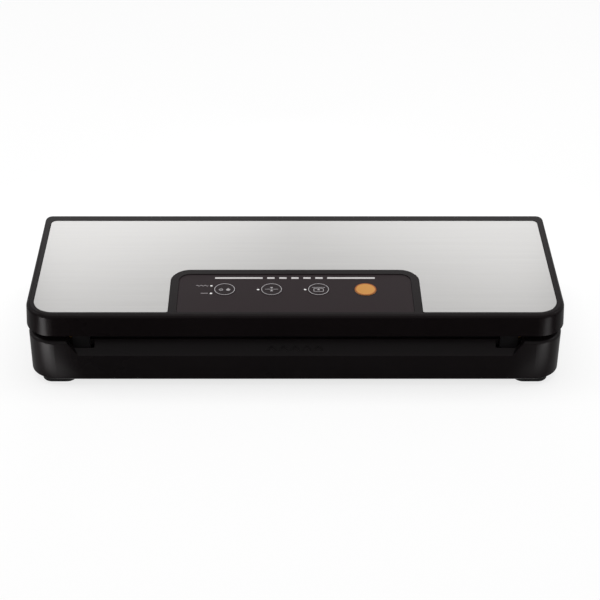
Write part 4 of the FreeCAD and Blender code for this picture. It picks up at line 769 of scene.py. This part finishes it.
def raisePrint(name, shapes, look, body, slotName):
    clearSelection()
    for shape in shapes:
        shape.select_set(True)
    bpy.context.view_layer.objects.active = shapes[0]
    if len(shapes) > 1:
        bpy.ops.object.join()
    shapes[0].name = name
    shapes[0].data.name = name
    bpy.ops.object.mode_set(mode="EDIT")
    bpy.ops.mesh.select_all(action="SELECT")
    extrudeBy(0, 0, inkShape["height"])
    finishPiece(shapes[0], look, body, slotName)


def keyTop(node):
    low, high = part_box(node)
    return (low.x + high.x) / 2, (low.y + high.y) / 2, high.z


def dropSigns(x, y, z):
    aside = signShape["dropAside"]
    level = y - signShape["dropDown"]
    return [
        flatDrop(x - aside, level, z, signShape["dropRadius"], inkShape["line"]),
        flatDrop(x + aside, level, z, signShape["dropRadius"]),
    ]


def pressSigns(x, y, z):
    away = signShape["arrowAway"]
    return [
        flatBar(x, y, z, signShape["barLength"], inkShape["line"]),
        flatArrow(x, y + away, z, signShape["arrowRadius"], math.pi),
        flatArrow(x, y - away, z, signShape["arrowRadius"], 0),
    ]


def bagSigns(x, y, z):
    return [
        flatFrame(x, y - signShape["bagDown"], z, *signShape["bag"], inkShape["line"]),
        flatBar(x, y + signShape["bagBarUp"], z, signShape["barLength"], inkShape["line"]),
        flatArrow(x, y - signShape["bagArrowDown"], z, signShape["arrowRadius"], 0),
    ]


keySigns = {"mode_key": dropSigns, "seal_key": pressSigns, "vacuum_seal_key": bagSigns}
for node, signs in keySigns.items():
    spot = keyTop(node)
    shapes = [flatRing(*spot, inkShape["ring"], inkShape["ringLine"])] + signs(*spot)
    raisePrint(pieceName(node) + "Print", shapes, "greyInk", node, "light_plastic")
# Round the orange key, a deep orange ring raised like the print: painted shade where the key meets its
# gap.
startShadeRim = flatRing(*keyTop("start_key"), inkShape["startShadeRing"], inkShape["startShadeRingLine"])
raisePrint("startKeyShadeRim", [startShadeRim], "orangeEdgeShade", "start_key", "orange_plastic")


# Two marks beside the lamps of the first key, a wave for moist and a dash for dry.
markShape = {
    "wave": (8.5 * mm, 0.8 * mm),
    "waveColumns": 24,
    "waveTurns": 3,
    "swing": 0.5 * mm,
    "dash": (5 * mm, 0.85 * mm),
    "gap": 2.1 * mm,  # from the middle of a lamp
    "lampRadius": 1 * mm,
    "columnSlack": 0.05 * mm,
}
lampLow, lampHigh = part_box("indicator_lenses")
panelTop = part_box("control_panel")[1].z
markEnd = lampLow.x + markShape["lampRadius"] - markShape["gap"]
lampBack = lampHigh.y - markShape["lampRadius"]
lampFront = lampLow.y + markShape["lampRadius"]
waveLength, waveWidth = markShape["wave"]
waveColumns = markShape["waveColumns"]
waveStart = markEnd - waveLength
waveStep = waveLength / waveColumns
clearSelection()
bpy.ops.mesh.primitive_grid_add(
    x_subdivisions=waveColumns,
    y_subdivisions=1,
    size=1,
    location=(markEnd - waveLength / 2, lampBack, panelTop),
)
wave = startPiece("moistWave", (waveLength, waveWidth, 1))
for column in range(waveColumns + 1):
    columnX = waveStart + waveStep * column
    turned = column / waveColumns * markShape["waveTurns"] * 2 * math.pi
    pick(wave, "verts", lambda v: near(v.co.x, columnX, markShape["columnSlack"]))
    bpy.ops.transform.translate(value=(0, markShape["swing"] * math.sin(turned), 0))
raisePrint("moistWave", [wave], "dimInk", "lid", "light_plastic")
dashLength, dashWidth = markShape["dash"]
dash = flatBar(markEnd - dashLength / 2, lampFront, panelTop, dashLength, dashWidth)
raisePrint("dryDash", [dash], "dimInk", "lid", "light_plastic")
print("key signs printed")


# Lip marks: a row of moulded arrowheads that show which way the bag goes in.
lipShape = {
    "count": 5,
    "pitch": 8 * mm,
    "half": 3 * mm,
    "arm": 1.3 * mm,
    "rise": 2.4 * mm,
    "height": 0.6 * mm,
    "edge": 0.24 * mm,
    "edgeSteps": 2,
    "slope": math.radians(45),
    "upSlope": 5 * mm,  # from the slope's front edge
    "slopeHeight": 11.8 * mm,
    "lidGap": 5.3 * mm,
}
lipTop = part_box("lid_shell")[0].z - lipShape["lidGap"]
lipFoot = Vector((0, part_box("base_shell")[0].y, lipTop - lipShape["slopeHeight"]))
upward = Vector((0, math.cos(lipShape["slope"]), math.sin(lipShape["slope"])))
clearSelection()
bpy.ops.mesh.primitive_grid_add(x_subdivisions=2, y_subdivisions=1, size=1, location=(0, 0, 0))
marks = startPiece("lipMarks", (lipShape["half"] * 2, lipShape["arm"], 1))
pick(marks, "verts", lambda v: near(v.co.x, 0))
bpy.ops.transform.translate(value=(0, lipShape["rise"], 0))
bpy.ops.mesh.select_all(action="SELECT")
extrudeBy(0, 0, lipShape["height"])
bpy.ops.mesh.select_all(action="SELECT")
bpy.ops.mesh.normals_make_consistent(inside=False)
pick(marks, "edges", rimAt(lipShape["height"]))
bpy.ops.mesh.bevel(offset=lipShape["edge"], segments=lipShape["edgeSteps"], affect="EDGES")
bpy.ops.mesh.select_all(action="SELECT")
bpy.ops.transform.translate(
    value=(-lipShape["pitch"] * (lipShape["count"] - 1) / 2, -lipShape["rise"] / 2, 0)
)
for step in range(lipShape["count"] - 1):
    bpy.ops.mesh.duplicate_move(TRANSFORM_OT_translate={"value": (lipShape["pitch"], 0, 0)})
bpy.ops.object.mode_set(mode="OBJECT")
marks.rotation_euler = (lipShape["slope"], 0, 0)
marks.location = lipFoot + upward * lipShape["upSlope"]
bpy.ops.object.transform_apply(location=True, rotation=True, scale=True)
bpy.ops.object.mode_set(mode="EDIT")
finishPiece(marks, "baseAbs", "base", "base_plastic")
print("lip marks made")


# Floor and light: a pale floor that keeps the shadow, and soft boxes round the object.
# In reflections only, the floor is painted dark in front and brighter than white beside each front corner,
# giving painted shade on the front faces and painted highlights on the corners.
stageSetup = {
    "floorSize": 14,
    "floorColour": "#F0F0F0",
    "floorRoughness": 0.9,
    "floorGloss": 0.1,
    "floorGlow": 0.7,
    "floorShown": 1.1,
    "worldColour": "#FFFFFF",
    "worldShown": 1.0,
    "worldLight": 0.3,
    "aim": (0, 0, 0.03),
}
# Painted reflections: glossy rays see the floor dark in front (painted shade on the front faces), bright
# bands beside the front corners (painted highlights there), and a paler strip under the object (a painted
# highlight on the bottom edge).
paintedReflectionRamps = {  # levels in reflections, over spans in metres from the middle of the object
    "shineBandInner": {"along": "corner", "span": (0.07, 0.085), "levels": (0, 1)},
    "shineBandOuter": {"along": "corner", "span": (0.15, 0.125), "levels": (0, 1)},
    "shineBandBack": {"along": "Y", "span": (-0.072, -0.115), "levels": (0, 1)},
    "shineBandLevel": {"along": "X", "span": (-0.01, 0.01), "levels": (17.0, 7.5)},
    "underneath": {"along": "Y", "span": (-0.074, -0.066), "levels": (0.02, 0.5)},
}
clearSelection()
bpy.ops.mesh.primitive_plane_add(size=stageSetup["floorSize"], location=(0, 0, 0))
floor = bpy.context.object
floor.name = "floor"
floorPaint, floorTree, floorShader = startMaterial(
    "paleFloor",
    {
        "Base Color": linear(stageSetup["floorColour"]),
        "Roughness": stageSetup["floorRoughness"],
        "Specular IOR Level": stageSetup["floorGloss"],
    },
)
floorPlace = addNode(floorTree, "TexCoord")
floorParts = addNode(floorTree, "SeparateXYZ", links={0: (floorPlace, "Object")})
outward = addNode(floorTree, "Math", links={0: (floorParts, "X")}, operation="ABSOLUTE")
corner = addNode(floorTree, "Math", links={0: (outward, 0), 1: (floorParts, "Y")}, operation="ADD")
alongs = {"corner": (corner, 0), "X": (floorParts, "X"), "Y": (floorParts, "Y")}
ramps = {}
for name, ramp in paintedReflectionRamps.items():
    ramps[name] = addNode(
        floorTree,
        "MapRange",
        {
            "From Min": ramp["span"][0],
            "From Max": ramp["span"][1],
            "To Min": ramp["levels"][0],
            "To Max": ramp["levels"][1],
        },
        {"Value": alongs[ramp["along"]]},
    )
# bands brighter than white beside each front corner: painted highlights, seen only in reflections
shineBands = ramps["shineBandInner"]
for name in ("shineBandOuter", "shineBandBack", "shineBandLevel"):
    shineBands = addNode(
        floorTree, "Math", links={0: (shineBands, 0), 1: (ramps[name], 0)}, operation="MULTIPLY"
    )
# with the dark front and the paler strip under the object: painted shade and a painted highlight
reflectionPaint = addNode(
    floorTree, "Math", links={0: (shineBands, 0), 1: (ramps["underneath"], 0)}, operation="MAXIMUM"
)
floorPath = addNode(floorTree, "LightPath")
# Camera and transmission rays see the floor at its plain pale level; glossy rays see the painted
# reflections.
glowLevel = addNode(
    floorTree,
    "Mix",
    {2: stageSetup["floorShown"]},
    {0: (floorPath, "Is Glossy Ray"), 3: (reflectionPaint, 0)},
)
glow = addNode(floorTree, "Emission", links={"Strength": (glowLevel, 0)})
seenShare = addNode(
    floorTree,
    "Math",
    {1: stageSetup["floorGlow"]},
    {0: (floorPath, "Is Camera Ray")},
    operation="MULTIPLY",
)
throughShare = addNode(
    floorTree,
    "Math",
    links={0: (floorPath, "Is Glossy Ray"), 1: (floorPath, "Is Transmission Ray")},
    operation="MAXIMUM",
)
share = addNode(
    floorTree, "Math", links={0: (seenShare, 0), 1: (throughShare, 0)}, operation="MAXIMUM"
)
blended = addNode(
    floorTree, "MixShader", links={0: (share, 0), 1: (floorShader, 0), 2: (glow, 0)}
)
floorOut = next(n for n in floorTree.nodes if n.type == "OUTPUT_MATERIAL")
floorTree.links.new(blended.outputs[0], floorOut.inputs["Surface"])
floor.data.materials.append(floorPaint)

world = bpy.data.worlds.new("paleStudio")
bpy.context.scene.world = world
world.use_nodes = True
worldTree = world.node_tree
background = next(n for n in worldTree.nodes if n.type == "BACKGROUND")
background.inputs["Color"].default_value = linear(stageSetup["worldColour"])
path = addNode(worldTree, "LightPath")
clear = addNode(
    worldTree,
    "Math",
    links={0: (path, "Is Glossy Ray"), 1: (path, "Is Transmission Ray")},
    operation="MAXIMUM",
)
seen = addNode(
    worldTree, "Math", links={0: (path, "Is Camera Ray"), 1: (clear, 0)}, operation="MAXIMUM"
)
level = addNode(
    worldTree,
    "Mix",
    {2: stageSetup["worldLight"], 3: stageSetup["worldShown"]},
    {0: (seen, 0)},
)
worldTree.links.new(level.outputs[0], background.inputs["Strength"])

# The back boxes stand close behind, so the shine on the plate fades towards its front.
softboxes = {
    "backLeftBox": {"place": (-0.117, 0.22, 0.13), "size": (0.245, 0.15), "radiance": 1.26},
    "backRightBox": {"place": (0.117, 0.22, 0.13), "size": (0.245, 0.15), "radiance": 1.14},
    "topBox": {"place": (0, 0.1, 1.7), "size": (1.6, 1.0), "radiance": 2.8},
    "leftBox": {"place": (-0.95, 0.1, 0.8), "size": (0.3, 0.3), "radiance": 7.0},
    "rightBox": {"place": (0.95, 0.1, 0.8), "size": (0.3, 0.3), "radiance": 6.0},
}
for name, box in softboxes.items():
    lamp = bpy.data.lights.new(name, "AREA")
    lamp.shape = "RECTANGLE"
    lamp.size, lamp.size_y = box["size"]
    lamp.energy = box["radiance"] * math.pi * lamp.size * lamp.size_y  # watts
    holder = bpy.data.objects.new(name, lamp)
    bpy.context.scene.collection.objects.link(holder)
    holder.location = box["place"]
    aim = Vector(stageSetup["aim"]) - Vector(box["place"])
    holder.rotation_euler = aim.to_track_quat("-Z", "Y").to_euler()
print("floor and lights placed")
